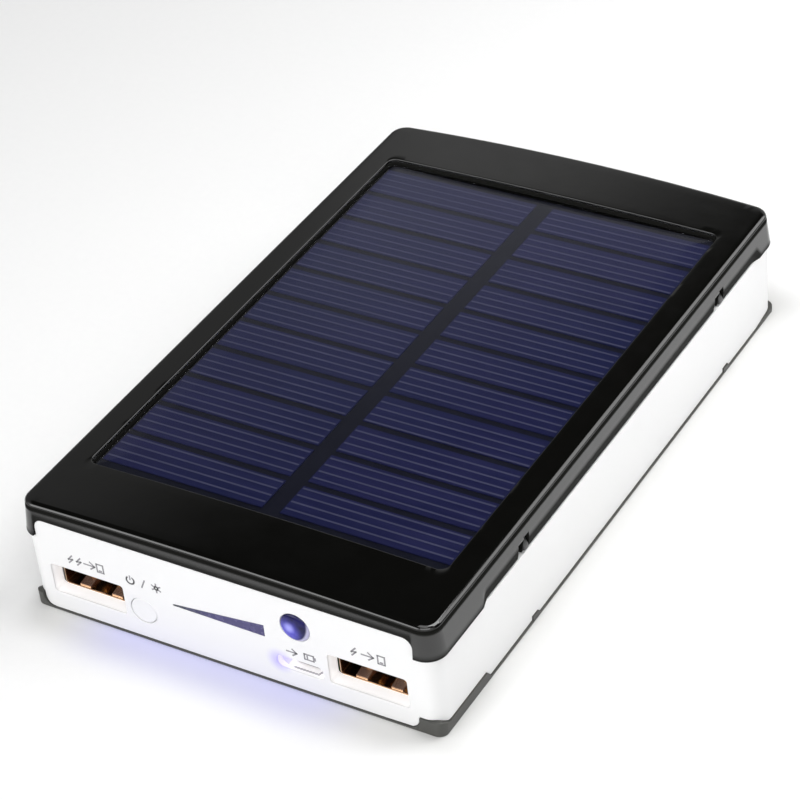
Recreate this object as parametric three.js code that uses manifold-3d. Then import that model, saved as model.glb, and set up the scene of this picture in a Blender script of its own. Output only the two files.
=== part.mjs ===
// Solar phone charger: a flat power bank with a solar panel in its lid, two USB outputs, a micro-USB
// input, an on/off button, a wedge-shaped battery gauge and a torch lamp.
// Millimetres. X runs across the ports, Y from the ports (-Y) to the rear end, Z up from the table.
import * as THREE from 'three';
import { mergeVertices } from 'three/addons/utils/BufferGeometryUtils.js';
import Module from 'manifold-3d';

const wasm = await Module();
wasm.setup();

// ---------------------------------------------------------------- driving dimensions

// Whole body
const WIDTH = 75;
const LENGTH = 121.5;
const EDGE_HEIGHT = 21.3; // height of the top face along its long edges
const CROWN = 0.6; // extra height of the top face at its middle
const REAR_BULGE = 1.1; // how far the rear end bows out at its middle
const CORNER = 2.8; // corner radius seen from above
const CORNER_STEPS = 5;
const SPAN_STEPS = 12;
const GAP = 0.2; // clearance between neighbouring pieces

// Covers
const SKIN = 1.2; // wall of the top cover
const FOLD = 0.8; // radius where the top face turns down
const TOP_LIP = 15.1; // lower edge of the top cover
const FLARE = 0.65; // the top cover's flanges widen by this much down to the lip
const LEAN_TOP = 17.6; // the long flanges lean in below this height
const LEAN = 0.7; // how far they lean in
const LID_END = [-35.2, 34]; // where the white end faces end across, between the top cover's corner wraps
const BASE_END = [-36, 33.7]; // and between the bottom cover's corner wraps
const END_LOW = 0.3; // lower edge of the white end faces
const END_HIGH = 18.35; // upper edge of the white end faces
const END_RADIUS = 1.9;
const BASE_SKIN = 0.85; // floor of the bottom cover
const BASE_OUT = 0.3; // it stands out this far beyond the body's walls
const BASE_RIM = 0.35; // height of its flange along the long sides
const BASE_WRAP = 1.8; // height of its corner wraps along the long sides
const FRONT_WRAP = 2.7; // and where they turn onto the front
const FRONT_RISE = -58.4; // where they start to rise towards the front
const RISE_LENGTH = 1.5;
const BASE_EDGE = 0.15; // rounding of its lower edge
const BASE_CORNER = 1.3; // its corners are sharper than the others seen from above
const WRAP_FRONT = -45.6; // where the front corner wraps end along the long sides
const WRAP_REAR = 52; // where the rear corner wraps begin
const FRONT_SLOPE = 1.2; // length of the front wraps' sloping ends
const REAR_SLOPE = 6; // the rear wraps rise more gently
const LATCHES = [-33, 37.2]; // latch positions along the long sides
const LATCH_SLOT = 1.8;
const LATCH_TAB = 1.6;
const LATCH_HIGH = 18.1;
const BUMP_OFFSET = 1; // from a latch to the bump on the bottom cover
const BUMP_LENGTH = 2.5;
const BUMP_HEIGHT = 0.7;

// Frame
const BODY_INSET = 0.3; // the white walls stand this far inside the covers
const WALL_INSET = 2.5; // inner face of the white walls
const FRAME_LOW = 1.4;
const FRAME_HIGH = 19.7;

// Solar panel, in a window with a ledge beneath it
const WINDOW_X = 32.6;
const WINDOW_FRONT = -47.75;
const WINDOW_REAR = 48.4;
const WINDOW_RADIUS = 1.6;
const PANEL_CLEARANCE = 0.4;
const PANEL_TOP = 20.6;
const RESIN = 0.5;
const CELL_THICKNESS = 0.2;
const BOARD_THICKNESS = 1.1;
const LEDGE_WIDTH = 3;
const LEDGE_THICKNESS = 1.2;
const TRAY_WALL = 1.2;
const CELL_ROWS = 11;
const CELL_PITCH = 8.42;
const CELL_GAP = 1.3;
const CELL_INNER = 1.65; // from the centre line to a cell strip
const CELL_OUTER = 31.9;
const CELL_MIDDLE_Y = 0.6;

// Front face: centres of what is in it, as [x, z]
const FACE = -LENGTH / 2 + BODY_INSET;
const FACE_BACK = -LENGTH / 2 + WALL_INSET;
const USB_LEFT = [-26.4, 6.75];
const USB_RIGHT = [25.1, 6.75];
const USB_CUTOUT = [13.9, 5.75];
const USB_INNER = [12.5, 5.12];
const USB_SHEET = 0.3;
const USB_DEPTH = 14;
const USB_LEGS = { out: 5.9, half: 0.4, backs: [3, 9], length: 1.2 };
const TONGUE = [11.2, 1.85];
const TONGUE_FRONT = -56.2;
const MICRO = [12.85, 4.9];
const MICRO_CUTOUT = [8.8, 2.7];
const MICRO_OUTER = [7.9, 2.45];
const MICRO_SHEET = 0.25;
const MICRO_DEPTH = 5.2;
const MICRO_SETBACK = 0.6; // from the end face to the mouth of its shell
const MICRO_BEVEL = 1.1;
const BUTTON = [-15.9, 5.9];
const BUTTON_RADIUS = 2.45;
const BUTTON_TRAVEL = 0.4;
const TORCH = [12.9, 13];
const TORCH_RADIUS = 2.5;
const TORCH_OUT = 0.3; // how far its dome stands out of the face
const GAUGE_TIP = [-9.8, 9.2];
const GAUGE_END = 7;
const GAUGE_LOW = 9.05;
const GAUGE_HIGH = 11.3;

// Circuit board
const PCB = { x: 34, front: -57.9, rear: -39.5, low: 2.2, high: 3.4 };
const SCREW = [32.2, -41.6];
const SCREW_RADIUS = 0.6;
const BOSS = { radius: 2.3, bore: 0.75, top: 9, web: 1.4 };
const SOLDER = 0.05; // clearance under what stands on the board

// Battery
const PACK = { x: 31, front: -36, rear: 54, thickness: 7.2, low: 1.4, pad: 0.8 };
const PACK_GAP = 0.1;
const UPPER_LOW = PACK.low + PACK.thickness + PACK.pad + 2 * PACK_GAP;
const TAB_Y = PACK.front - 3;
const STRAP = { x: 14, half: 2, thickness: 0.2 };

// ---------------------------------------------------------------- materials

const FINISHES = {
  black_gloss: [0x121311, 0.28, 0.0],
  white_gloss: [0xf2f2f0, 0.22, 0.0],
  dark_grey: [0x55564f, 0.5, 0.0],
  silicon: [0x24264a, 0.3, 0.3],
  panel_backing: [0x2b2d27, 0.6, 0.0],
  resin: [0xe8ecf5, 0.05, 0.0],
  steel: [0xb9b4ad, 0.3, 1.0],
  black_nylon: [0x1b1a1a, 0.6, 0.0],
  pouch_foil: [0xc4c7cc, 0.35, 0.8],
  foam: [0x3b3c40, 0.95, 0.0],
  green_board: [0x1d5a34, 0.45, 0.0],
  blue_guide: [0x4c4878, 0.25, 0.0],
  blue_lens: [0x2a2aa8, 0.08, 0.0],
  lamp: [0xf1efd0, 0.4, 0.0],
  ferrite: [0x35353a, 0.7, 0.1],
  chip: [0x17181a, 0.55, 0.0],
  nickel: [0xbfc0be, 0.3, 1.0],
  red_wire: [0xb3201c, 0.5, 0.0],
  black_wire: [0x151515, 0.5, 0.0],
};

const charger = new THREE.Group();

function addPart(name, finish, geometry) {
  const [color, roughness, metalness] = FINISHES[finish];
  const mesh = new THREE.Mesh(geometry, new THREE.MeshStandardMaterial({ color, roughness, metalness }));
  mesh.name = name;
  charger.add(mesh);
}

// ---------------------------------------------------------------- solids and booleans

function toSolid(geometry) {
  const bare = geometry.clone();
  bare.deleteAttribute('normal');
  bare.deleteAttribute('uv');
  const merged = mergeVertices(bare, 1e-5);
  return new wasm.Manifold(new wasm.Mesh({
    numProp: 3,
    vertProperties: new Float32Array(merged.attributes.position.array),
    triVerts: new Uint32Array(merged.index.array),
  }));
}

function toGeometry(solid) {
  const { vertProperties, triVerts } = solid.getMesh();
  const geometry = new THREE.BufferGeometry();
  geometry.setAttribute('position', new THREE.BufferAttribute(new Float32Array(vertProperties), 3));
  geometry.setIndex(new THREE.BufferAttribute(new Uint32Array(triVerts), 1));
  geometry.computeVertexNormals();
  return geometry;
}

const combine = (operation) => (first, ...rest) =>
  toGeometry(rest.reduce((solid, tool) => solid[operation](toSolid(tool)), toSolid(first)));
const join = combine('add');
const cut = combine('subtract');
const common = combine('intersect');

function box(x0, x1, y0, y1, z0, z1) {
  const geometry = new THREE.BoxGeometry(x1 - x0, y1 - y0, z1 - z0);
  return geometry.translate((x0 + x1) / 2, (y0 + y1) / 2, (z0 + z1) / 2);
}

// A rectangle with round corners, between two opposite corners of its outline.
function roundedShape(x0, x1, y0, y1, radius) {
  const shape = new THREE.Shape();
  shape.moveTo(x0 + radius, y0);
  shape.lineTo(x1 - radius, y0);
  shape.absarc(x1 - radius, y0 + radius, radius, -Math.PI / 2, 0, false);
  shape.lineTo(x1, y1 - radius);
  shape.absarc(x1 - radius, y1 - radius, radius, 0, Math.PI / 2, false);
  shape.lineTo(x0 + radius, y1);
  shape.absarc(x0 + radius, y1 - radius, radius, Math.PI / 2, Math.PI, false);
  shape.lineTo(x0, y0 + radius);
  shape.absarc(x0 + radius, y0 + radius, radius, Math.PI, 1.5 * Math.PI, false);
  return shape;
}

function polygon(...points) {
  return new THREE.Shape(points.map(([x, y]) => new THREE.Vector2(x, y)));
}

const extrude = (shape, depth) =>
  new THREE.ExtrudeGeometry(shape, { depth, bevelEnabled: false, curveSegments: 4 });

// An outline in X and Y, raised from z0 to z1.
const prismZ = (shape, z0, z1) => extrude(shape, z1 - z0).translate(0, 0, z0);

// An outline in X and Z, swept from y0 to y1.
const prismY = (shape, y0, y1) => extrude(shape, y1 - y0).rotateX(Math.PI / 2).translate(0, y1, 0);

// An outline in Y and Z, swept from x0 to x1.
function prismX(shape, x0, x1) {
  const turn = new THREE.Matrix4().makeBasis(
    new THREE.Vector3(0, 1, 0), new THREE.Vector3(0, 0, 1), new THREE.Vector3(1, 0, 0));
  return extrude(shape, x1 - x0).applyMatrix4(turn).translate(x0, 0, 0);
}

function rodY([x, z], radius, y0, y1, sides = 24) {
  return new THREE.CylinderGeometry(radius, radius, y1 - y0, sides).translate(x, (y0 + y1) / 2, z);
}

function rodZ([x, y], radius, z0, z1, sides = 16) {
  const rod = new THREE.CylinderGeometry(radius, radius, z1 - z0, sides).rotateX(Math.PI / 2);
  return rod.translate(x, y, (z0 + z1) / 2);
}

// A rectangle in X and Z around a centre, swept along Y.
function slotY([x, z], [width, height], radius, y0, y1) {
  return prismY(roundedShape(x - width / 2, x + width / 2, z - height / 2, z + height / 2, radius), y0, y1);
}

// ---------------------------------------------------------------- the body's own outline

// Stations across the width at an inset from the outer walls: each has its x and how far the
// rounded corners have drawn the two ends in there.
function stations(inset, corner) {
  const half = WIDTH / 2 - inset;
  const radius = corner - inset;
  const flat = half - radius;
  const left = [];
  for (let i = 0; i < CORNER_STEPS; i++) {
    const angle = (i / CORNER_STEPS) * Math.PI / 2;
    left.push({ x: -flat - radius * Math.cos(angle), drawn: radius * (1 - Math.sin(angle)) });
  }
  const middle = [];
  for (let i = 0; i <= SPAN_STEPS; i++) {
    middle.push({ x: flat * (2 * i / SPAN_STEPS - 1), drawn: 0 });
  }
  const right = left.map(({ x, drawn }) => ({ x: -x, drawn })).reverse();
  return [...left, ...middle, ...right];
}

const bulge = (x) => REAR_BULGE * (2 * x / WIDTH) ** 2;
const crown = (x) => CROWN * (1 - (2 * x / WIDTH) ** 2);

// A closed body with the charger's outline, lofted through levels of { inset, z, crowned }.
function bodyLoft(levels, corner = CORNER) {
  const positions = [];
  const indices = [];
  const columns = stations(levels[0].inset, corner).length;
  const ring = 2 * columns;
  for (const { inset, z, crowned } of levels) {
    const across = stations(inset, corner);
    const lift = (x) => z + (crowned ? crown(x) : 0);
    for (const { x, drawn } of across) {
      positions.push(x, -LENGTH / 2 + inset + drawn, lift(x));
    }
    for (const { x, drawn } of across.reverse()) {
      positions.push(x, LENGTH / 2 - inset - drawn - bulge(x), lift(x));
    }
  }
  for (let level = 0; level + 1 < levels.length; level++) {
    for (let i = 0; i < ring; i++) {
      const next = (i + 1) % ring;
      const [a, b, c, d] = [i, next, next + ring, i + ring].map((k) => k + level * ring);
      indices.push(a, b, c, a, c, d);
    }
  }
  const top = (levels.length - 1) * ring;
  for (let i = 0; i + 1 < columns; i++) {
    const [a, b, c, d] = [i, i + 1, ring - 2 - i, ring - 1 - i];
    indices.push(a, c, b, a, d, c);
    indices.push(top + a, top + b, top + c, top + a, top + c, top + d);
  }
  const geometry = new THREE.BufferGeometry();
  geometry.setAttribute('position', new THREE.Float32BufferAttribute(positions, 3));
  geometry.setIndex(indices);
  return geometry;
}

function bodyBlock(inset, z0, z1, corner = CORNER) {
  return bodyLoft([{ inset, z: z0 }, { inset, z: z1 }], corner);
}

// The white end faces between a cover's corner wraps, swept through both ends.
function endFaces([left, right], inset, low) {
  const shape = roundedShape(left + inset, right - inset, low, END_HIGH - inset, END_RADIUS - inset);
  return prismY(shape, -LENGTH, LENGTH);
}

// ---------------------------------------------------------------- covers

function roundedFold() {
  const levels = [];
  const steps = 3;
  for (let i = 0; i <= steps; i++) {
    const angle = (i / steps) * Math.PI / 2;
    levels.push({
      inset: FOLD * (1 - Math.cos(angle)),
      z: EDGE_HEIGHT - FOLD * (1 - Math.sin(angle)),
      crowned: true,
    });
  }
  return levels;
}

function windowBlock(margin, z0, z1) {
  const x = WINDOW_X + margin;
  const shape = roundedShape(-x, x, WINDOW_FRONT - margin, WINDOW_REAR + margin,
    Math.max(WINDOW_RADIUS + margin, 0.6));
  return prismZ(shape, z0, z1);
}

// The wedges shaved off a long flange, so that it leans in between the corner wraps and latch tabs.
function leanWedge(side) {
  const outer = WIDTH / 2;
  const flange = EDGE_HEIGHT - FOLD;
  const start = outer + FLARE * (flange - LEAN_TOP) / (flange - TOP_LIP);
  const shape = polygon([start, LEAN_TOP], [outer + FLARE - LEAN, TOP_LIP - 0.1], [outer + 2, TOP_LIP - 0.1],
    [outer + 2, LEAN_TOP]);
  const wedge = prismY(shape, WRAP_FRONT, WRAP_REAR);
  const kept = LATCHES.map((y) => box(outer - 2, outer + 3, y, y + LATCH_TAB, TOP_LIP - 1, LEAN_TOP + 1));
  const shaved = cut(wedge, ...kept);
  return side > 0 ? shaved : mirrorX(shaved);
}

function mirrorX(geometry) {
  const mirrored = geometry.clone().scale(-1, 1, 1);
  const index = Array.from(mirrored.index.array);
  for (let i = 0; i < index.length; i += 3) {
    [index[i], index[i + 1]] = [index[i + 1], index[i]];
  }
  mirrored.setIndex(index);
  return mirrored;
}

function latchSlots() {
  const outer = WIDTH / 2;
  return [-1, 1].flatMap((side) => LATCHES.map((y) => {
    const [x0, x1] = side > 0 ? [outer - 2, outer + 1] : [-outer - 1, 2 - outer];
    return box(x0, x1, y - LATCH_SLOT, y, TOP_LIP - 1, LATCH_HIGH);
  }));
}

function topCover() {
  const boardLow = PANEL_TOP - RESIN - CELL_THICKNESS - BOARD_THICKNESS;
  const trayLow = boardLow - LEDGE_THICKNESS;
  const shell = bodyLoft([{ inset: -FLARE, z: TOP_LIP }, ...roundedFold()]);
  const hollow = cut(
    bodyBlock(SKIN, TOP_LIP - 1, EDGE_HEIGHT - SKIN),
    windowBlock(TRAY_WALL, trayLow, EDGE_HEIGHT));
  return cut(
    shell,
    hollow,
    windowBlock(0, boardLow, EDGE_HEIGHT + 2),
    windowBlock(-LEDGE_WIDTH, TOP_LIP, EDGE_HEIGHT),
    endFaces(LID_END, 0, TOP_LIP - 5),
    leanWedge(1),
    leanWedge(-1),
    ...latchSlots());
}

// One latch bump on the bottom cover's long flange, grown by a margin.
function baseBump(side, y, margin) {
  const start = y + BUMP_OFFSET - margin;
  const end = start + BUMP_LENGTH + 2 * margin;
  const high = BASE_RIM + BUMP_HEIGHT + margin;
  const low = BASE_RIM / 2;
  const shape = polygon([start, low], [end, low], [end, BASE_RIM], [end - BUMP_HEIGHT, high], [start, high]);
  const outer = WIDTH / 2 + BASE_OUT;
  return side > 0 ? prismX(shape, outer - SKIN - margin, outer + margin)
    : prismX(shape, -outer - margin, SKIN + margin - outer);
}

const baseBumps = (margin) => [-1, 1].flatMap((side) => LATCHES.map((y) => baseBump(side, y, margin)));

// All the space above the bottom cover's rim, seen along X: the rim is low along the sides and high at
// the corner wraps. A margin raises it and moves its slopes away from the wraps.
function aboveRim(margin) {
  const end = LENGTH;
  const rim = BASE_RIM + margin;
  const wrap = BASE_WRAP + margin;
  const front = FRONT_WRAP + margin;
  const shape = polygon([-end, front], [FRONT_RISE - RISE_LENGTH + margin, front], [FRONT_RISE + margin, wrap],
    [WRAP_FRONT - FRONT_SLOPE + margin, wrap], [WRAP_FRONT + margin, rim], [WRAP_REAR - margin, rim],
    [WRAP_REAR + REAR_SLOPE - margin, wrap], [end, wrap], [end, EDGE_HEIGHT + 2], [-end, EDGE_HEIGHT + 2]);
  return prismX(shape, -WIDTH, WIDTH);
}

// The bottom cover: a low rim that carries the frame's walls, around a thicker floor inside them.
function bottomCover() {
  const wall = -BASE_OUT;
  const levels = [{ inset: wall + BASE_EDGE, z: 0 }, { inset: wall, z: BASE_EDGE },
    { inset: wall, z: FRONT_WRAP }];
  const rim = cut(
    bodyLoft(levels, BASE_CORNER),
    bodyBlock(SKIN, BASE_RIM, FRONT_WRAP + 1, BASE_CORNER),
    endFaces(BASE_END, 0, END_LOW),
    aboveRim(0));
  return join(rim, bodyBlock(WALL_INSET + GAP, BASE_EDGE, BASE_SKIN), ...baseBumps(0));
}

// ---------------------------------------------------------------- middle frame

function gaugeShape(margin) {
  const [tipX, tipZ] = GAUGE_TIP;
  return polygon([tipX - margin, tipZ - margin], [GAUGE_END + margin, GAUGE_LOW - margin],
    [GAUGE_END + margin, GAUGE_HIGH + margin], [tipX - margin, tipZ + 0.25 + margin]);
}

function faceHoles() {
  const front = -LENGTH / 2 - 1;
  const back = FACE_BACK + 1;
  return [
    slotY(USB_LEFT, USB_CUTOUT, 0.5, front, back),
    slotY(USB_RIGHT, USB_CUTOUT, 0.5, front, back),
    slotY(MICRO, MICRO_CUTOUT, 0.9, front, back),
    rodY(BUTTON, BUTTON_RADIUS + GAP, front, back, 32),
    rodY(TORCH, TORCH_RADIUS + GAP, front, back, 32),
    prismY(gaugeShape(GAP), front, back),
  ];
}

function screwBoss(side) {
  const [x, y] = [side * SCREW[0], SCREW[1]];
  const wall = side * (WIDTH / 2 - WALL_INSET + 0.5);
  const low = PCB.high + 0.1;
  const web = box(Math.min(x, wall), Math.max(x, wall), y - BOSS.web, y + BOSS.web, low, BOSS.top);
  const post = rodZ([x, y], BOSS.radius, low, BOSS.top);
  return cut(join(post, web), rodZ([x, y], BOSS.bore, PCB.high, BOSS.top - 0.8));
}

function middleFrame() {
  const core = bodyBlock(SKIN + BODY_INSET, FRAME_LOW, FRAME_HIGH);
  const sideBand = cut(
    common(bodyBlock(BODY_INSET, BASE_RIM + GAP, TOP_LIP - GAP), aboveRim(GAP)),
    ...baseBumps(GAP));
  const low = END_LOW + GAP;
  const upperEnd = common(bodyBlock(BODY_INSET, TOP_LIP - 1, END_HIGH), endFaces(LID_END, GAP, low));
  const lowerEnd = common(bodyBlock(BODY_INSET, low, TOP_LIP - 1), endFaces(BASE_END, GAP, low));
  const ring = cut(join(core, sideBand, upperEnd, lowerEnd), bodyBlock(WALL_INSET, -1, EDGE_HEIGHT + 1),
    ...faceHoles());
  return join(ring, screwBoss(-1), screwBoss(1));
}

// ---------------------------------------------------------------- solar panel

function addSolarPanel() {
  const cellTop = PANEL_TOP - RESIN;
  const cellLow = cellTop - CELL_THICKNESS;
  addPart('panel_board', 'panel_backing', windowBlock(-PANEL_CLEARANCE, cellLow - BOARD_THICKNESS, cellLow));
  addPart('panel_resin', 'resin', windowBlock(-PANEL_CLEARANCE, cellTop, PANEL_TOP));
  for (let row = 0; row < CELL_ROWS; row++) {
    const middle = CELL_MIDDLE_Y + (row - (CELL_ROWS - 1) / 2) * CELL_PITCH;
    const half = (CELL_PITCH - CELL_GAP) / 2;
    const label = String(row + 1).padStart(2, '0');
    addPart(`cell_left_${label}`, 'silicon',
      box(-CELL_OUTER, -CELL_INNER, middle - half, middle + half, cellLow, cellTop));
    addPart(`cell_right_${label}`, 'silicon',
      box(CELL_INNER, CELL_OUTER, middle - half, middle + half, cellLow, cellTop));
  }
}

// ---------------------------------------------------------------- sockets

function usbShell([x, z]) {
  const [width, height] = USB_INNER;
  const front = FACE_BACK + 0.1;
  const outer = slotY([x, z], [width + 2 * USB_SHEET, height + 2 * USB_SHEET], 0.4, front, front + USB_DEPTH);
  const inner = slotY([x, z], USB_INNER, 0.3, front - 1, front + USB_DEPTH - USB_SHEET);
  const underside = z - height / 2 - USB_SHEET / 2;
  const { out, half, backs, length } = USB_LEGS;
  const legs = [x - out, x + out].flatMap((middle) => backs.map((back) =>
    box(middle - half, middle + half, front + back, front + back + length, PCB.high + SOLDER, underside)));
  return join(cut(outer, inner), ...legs);
}

// The tongue hangs in the upper half of the socket and grows from a block that closes its rear.
function usbTongue([x, z]) {
  const [width, thickness] = TONGUE;
  const [innerWidth, innerHeight] = USB_INNER;
  const rear = FACE_BACK + USB_DEPTH - USB_SHEET;
  const blade = box(x - width / 2, x + width / 2, TONGUE_FRONT, rear - 1, z, z + thickness);
  const block = box(x - innerWidth / 2 + 0.1, x + innerWidth / 2 - 0.1, rear - 2.5, rear,
    z - innerHeight / 2 + 0.1, z + innerHeight / 2 - 0.1);
  return join(blade, block);
}

// The micro-USB shell narrows towards its underside.
function microOutline(margin) {
  const [x, z] = MICRO;
  const half = MICRO_OUTER[0] / 2 - margin;
  const low = z - MICRO_OUTER[1] / 2 + margin;
  const high = z + MICRO_OUTER[1] / 2 - margin;
  const bevel = MICRO_BEVEL;
  return polygon([x - half + bevel, low], [x + half - bevel, low], [x + half, low + bevel], [x + half, high],
    [x - half, high], [x - half, low + bevel]);
}

function microShell() {
  const front = FACE + MICRO_SETBACK;
  return cut(prismY(microOutline(0), front, front + MICRO_DEPTH),
    prismY(microOutline(MICRO_SHEET), front - 1, front + MICRO_DEPTH - MICRO_SHEET));
}

function microTongue() {
  const [x, z] = MICRO;
  const front = FACE + MICRO_SETBACK;
  const rear = front + MICRO_DEPTH - MICRO_SHEET - SOLDER;
  const [bladeHalf, bladeThickness, blockHalf, blockDepth] = [1.9, 0.6, 2.4, 1.2];
  const blade = box(x - bladeHalf, x + bladeHalf, front + 1, rear - blockDepth / 2, z, z + bladeThickness);
  const block = box(x - blockHalf, x + blockHalf, rear - blockDepth, rear, z - 0.8, z + 0.8);
  return join(blade, block);
}

// ---------------------------------------------------------------- button and switch

const CAP_FRONT = FACE + 0.05;
const CAP_FLANGE = FACE_BACK + 0.2;
const CAP_BACK = CAP_FLANGE + 0.7;
const SWITCH = { front: -56.2, rear: -52.6, half: 3 };
const PLUNGER_RADIUS = 1.65;

function buttonCap() {
  const [x, z] = BUTTON;
  const profile = [
    [0, CAP_FRONT], [BUTTON_RADIUS - 0.5, CAP_FRONT + 0.06], [BUTTON_RADIUS, CAP_FRONT + 0.5],
    [BUTTON_RADIUS, CAP_FLANGE], [BUTTON_RADIUS + 1, CAP_FLANGE], [BUTTON_RADIUS + 1, CAP_BACK], [0, CAP_BACK],
  ];
  const lathe = new THREE.LatheGeometry(profile.map(([radius, y]) => new THREE.Vector2(radius, y)), 32);
  return lathe.translate(x, 0, z);
}

function switchBase() {
  const [x, z] = BUTTON;
  const { front, rear, half } = SWITCH;
  return cut(box(x - half, x + half, front, rear, PCB.high + SOLDER, z + half - GAP / 2),
    rodY(BUTTON, PLUNGER_RADIUS + GAP, front - 1, front + 1 + BUTTON_TRAVEL + GAP));
}

const switchPlunger = () => rodY(BUTTON, PLUNGER_RADIUS, CAP_BACK + 0.05, SWITCH.front + 1);

// ---------------------------------------------------------------- gauge and torch

const GUIDE_DEPTH = 1.5;
const GUIDE_LOW = PCB.high + 1.2;
const LAMP = { first: -6.5, pitch: 3.7, half: 0.8, front: FACE_BACK + 0.45, length: 0.8, height: 0.8 };
const TORCH_RIM = { front: FACE_BACK + 5.6, width: 0.4, depth: 1 };
const TORCH_LEAD = { out: 1.27, half: 0.25, reach: 3 };

// The wedge in the end face stands on a light guide, whose foot sits over the row of small lamps.
function gaugeGuide() {
  const [front, rear] = [FACE_BACK + GAP, FACE_BACK + GUIDE_DEPTH];
  const wedge = prismY(gaugeShape(0), FACE, rear - 1);
  const body = box(GAUGE_TIP[0] + 0.3, GAUGE_END - 0.2, front, rear, GUIDE_LOW, GAUGE_HIGH + 0.4);
  return join(wedge, body);
}

function gaugeLamp(index) {
  const x = LAMP.first + LAMP.pitch * index;
  return box(x - LAMP.half, x + LAMP.half, LAMP.front, LAMP.front + LAMP.length, PCB.high + SOLDER,
    PCB.high + LAMP.height);
}

// A 5 mm lamp: a domed lens, a rim at its back and two leads down to the board.
function torchLamp() {
  const [x, z] = TORCH;
  const tip = FACE - TORCH_OUT;
  const { front, width, depth } = TORCH_RIM;
  const steps = 6;
  const points = [];
  for (let i = 0; i <= steps; i++) {
    const angle = (i / steps) * Math.PI / 2;
    points.push(new THREE.Vector2(TORCH_RADIUS * Math.sin(angle), tip + TORCH_RADIUS * (1 - Math.cos(angle))));
  }
  points.push(new THREE.Vector2(TORCH_RADIUS, front));
  points.push(new THREE.Vector2(TORCH_RADIUS + width, front));
  points.push(new THREE.Vector2(TORCH_RADIUS + width, front + depth));
  points.push(new THREE.Vector2(0, front + depth));
  const lens = new THREE.LatheGeometry(points, 24).translate(x, 0, z);
  const { out, half, reach } = TORCH_LEAD;
  const leads = [x - out, x + out].map((middle) => {
    const back = front + reach;
    return join(
      box(middle - half, middle + half, front + depth - 0.2, back, z - half, z + half),
      box(middle - half, middle + half, back - 2 * half, back, PCB.high + SOLDER, z + half));
  });
  return join(lens, ...leads);
}

// ---------------------------------------------------------------- board, battery and leads

function mainBoard() {
  const board = prismZ(roundedShape(-PCB.x, PCB.x, PCB.front, PCB.rear, 1), PCB.low, PCB.high);
  const x = BUTTON[0];
  const buttonNotch = box(x - BUTTON_RADIUS - 2, x + BUTTON_RADIUS + 2, PCB.front - 1, CAP_BACK + 0.7, 0, 6);
  const screwHoles = [-1, 1].map((side) => rodZ([side * SCREW[0], SCREW[1]], 0.9, 0, 6));
  return cut(board, buttonNotch, ...screwHoles);
}

function boardScrew(side) {
  const at = [side * SCREW[0], SCREW[1]];
  const head = rodZ(at, 2.5 * SCREW_RADIUS, PCB.low - 0.9, PCB.low - SOLDER);
  return join(head, rodZ(at, SCREW_RADIUS, PCB.low - 0.3, BOSS.top - 1.5));
}

// A part on the board, standing on its top face around a centre.
function onBoard(x, y, width, length, height) {
  return box(x - width / 2, x + width / 2, y - length / 2, y + length / 2, PCB.high + SOLDER,
    PCB.high + height);
}

function inductor() {
  const shape = roundedShape(-2.6, 4.6, -54.4, -47.4, 1.5);
  return prismZ(shape, PCB.high + SOLDER, PCB.high + 4.5);
}

// A pouch cell: a soft-edged block with a thin sealed terrace towards the board.
function pouchCell(low) {
  const edge = 1.2;
  const body = new THREE.ExtrudeGeometry(
    roundedShape(-PACK.x + edge, PACK.x - edge, PACK.front + edge, PACK.rear - edge, 1.5),
    { depth: PACK.thickness - 2 * edge, bevelThickness: edge, bevelSize: edge, bevelSegments: 2,
      curveSegments: 3 });
  body.translate(0, 0, low + edge);
  const middle = low + PACK.thickness / 2;
  const terrace = box(1 - PACK.x, PACK.x - 1, TAB_Y, PACK.front + 2, middle - 0.2, middle + 0.2);
  return join(body, terrace);
}

const batteryPad = () => box(3 - PACK.x, PACK.x - 3, PACK.front + 3, PACK.rear - 3,
  PACK.low + PACK.thickness + PACK_GAP, UPPER_LOW - PACK_GAP);

// A nickel strap across the two cells' terraces.
function cellStrap(side) {
  const middle = PACK.thickness / 2;
  const { x, half, thickness } = STRAP;
  return box(side * x - half, side * x + half, TAB_Y - PACK_GAP - thickness, TAB_Y - PACK_GAP,
    PACK.low + middle - thickness, UPPER_LOW + middle + thickness);
}

function lead(points, radius) {
  const route = new THREE.CatmullRomCurve3(points.map(([x, y, z]) => new THREE.Vector3(x, y, z)));
  const section = new THREE.Shape();
  section.absarc(0, 0, radius, 0, 2 * Math.PI, false);
  return new THREE.ExtrudeGeometry(section, { extrudePath: route, steps: 14, curveSegments: 4 });
}

function batteryLead(side) {
  const x = side * STRAP.x;
  const y = TAB_Y - 1.1;
  return lead([[x, y, 9.5], [x, y - 0.8, 8], [x - side * 2, y - 1.4, 6.2], [x - side * 3, y - 1.6, 3.9]], 0.55);
}

function solarLead(side) {
  const x = side * 3;
  return lead([[x, -43.4, 18.4], [x + side, -42.6, 14], [x + side * 2, -43.2, 9], [x + side * 2, -43.8, 3.9]],
    0.45);
}

// ---------------------------------------------------------------- the assembly

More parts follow.
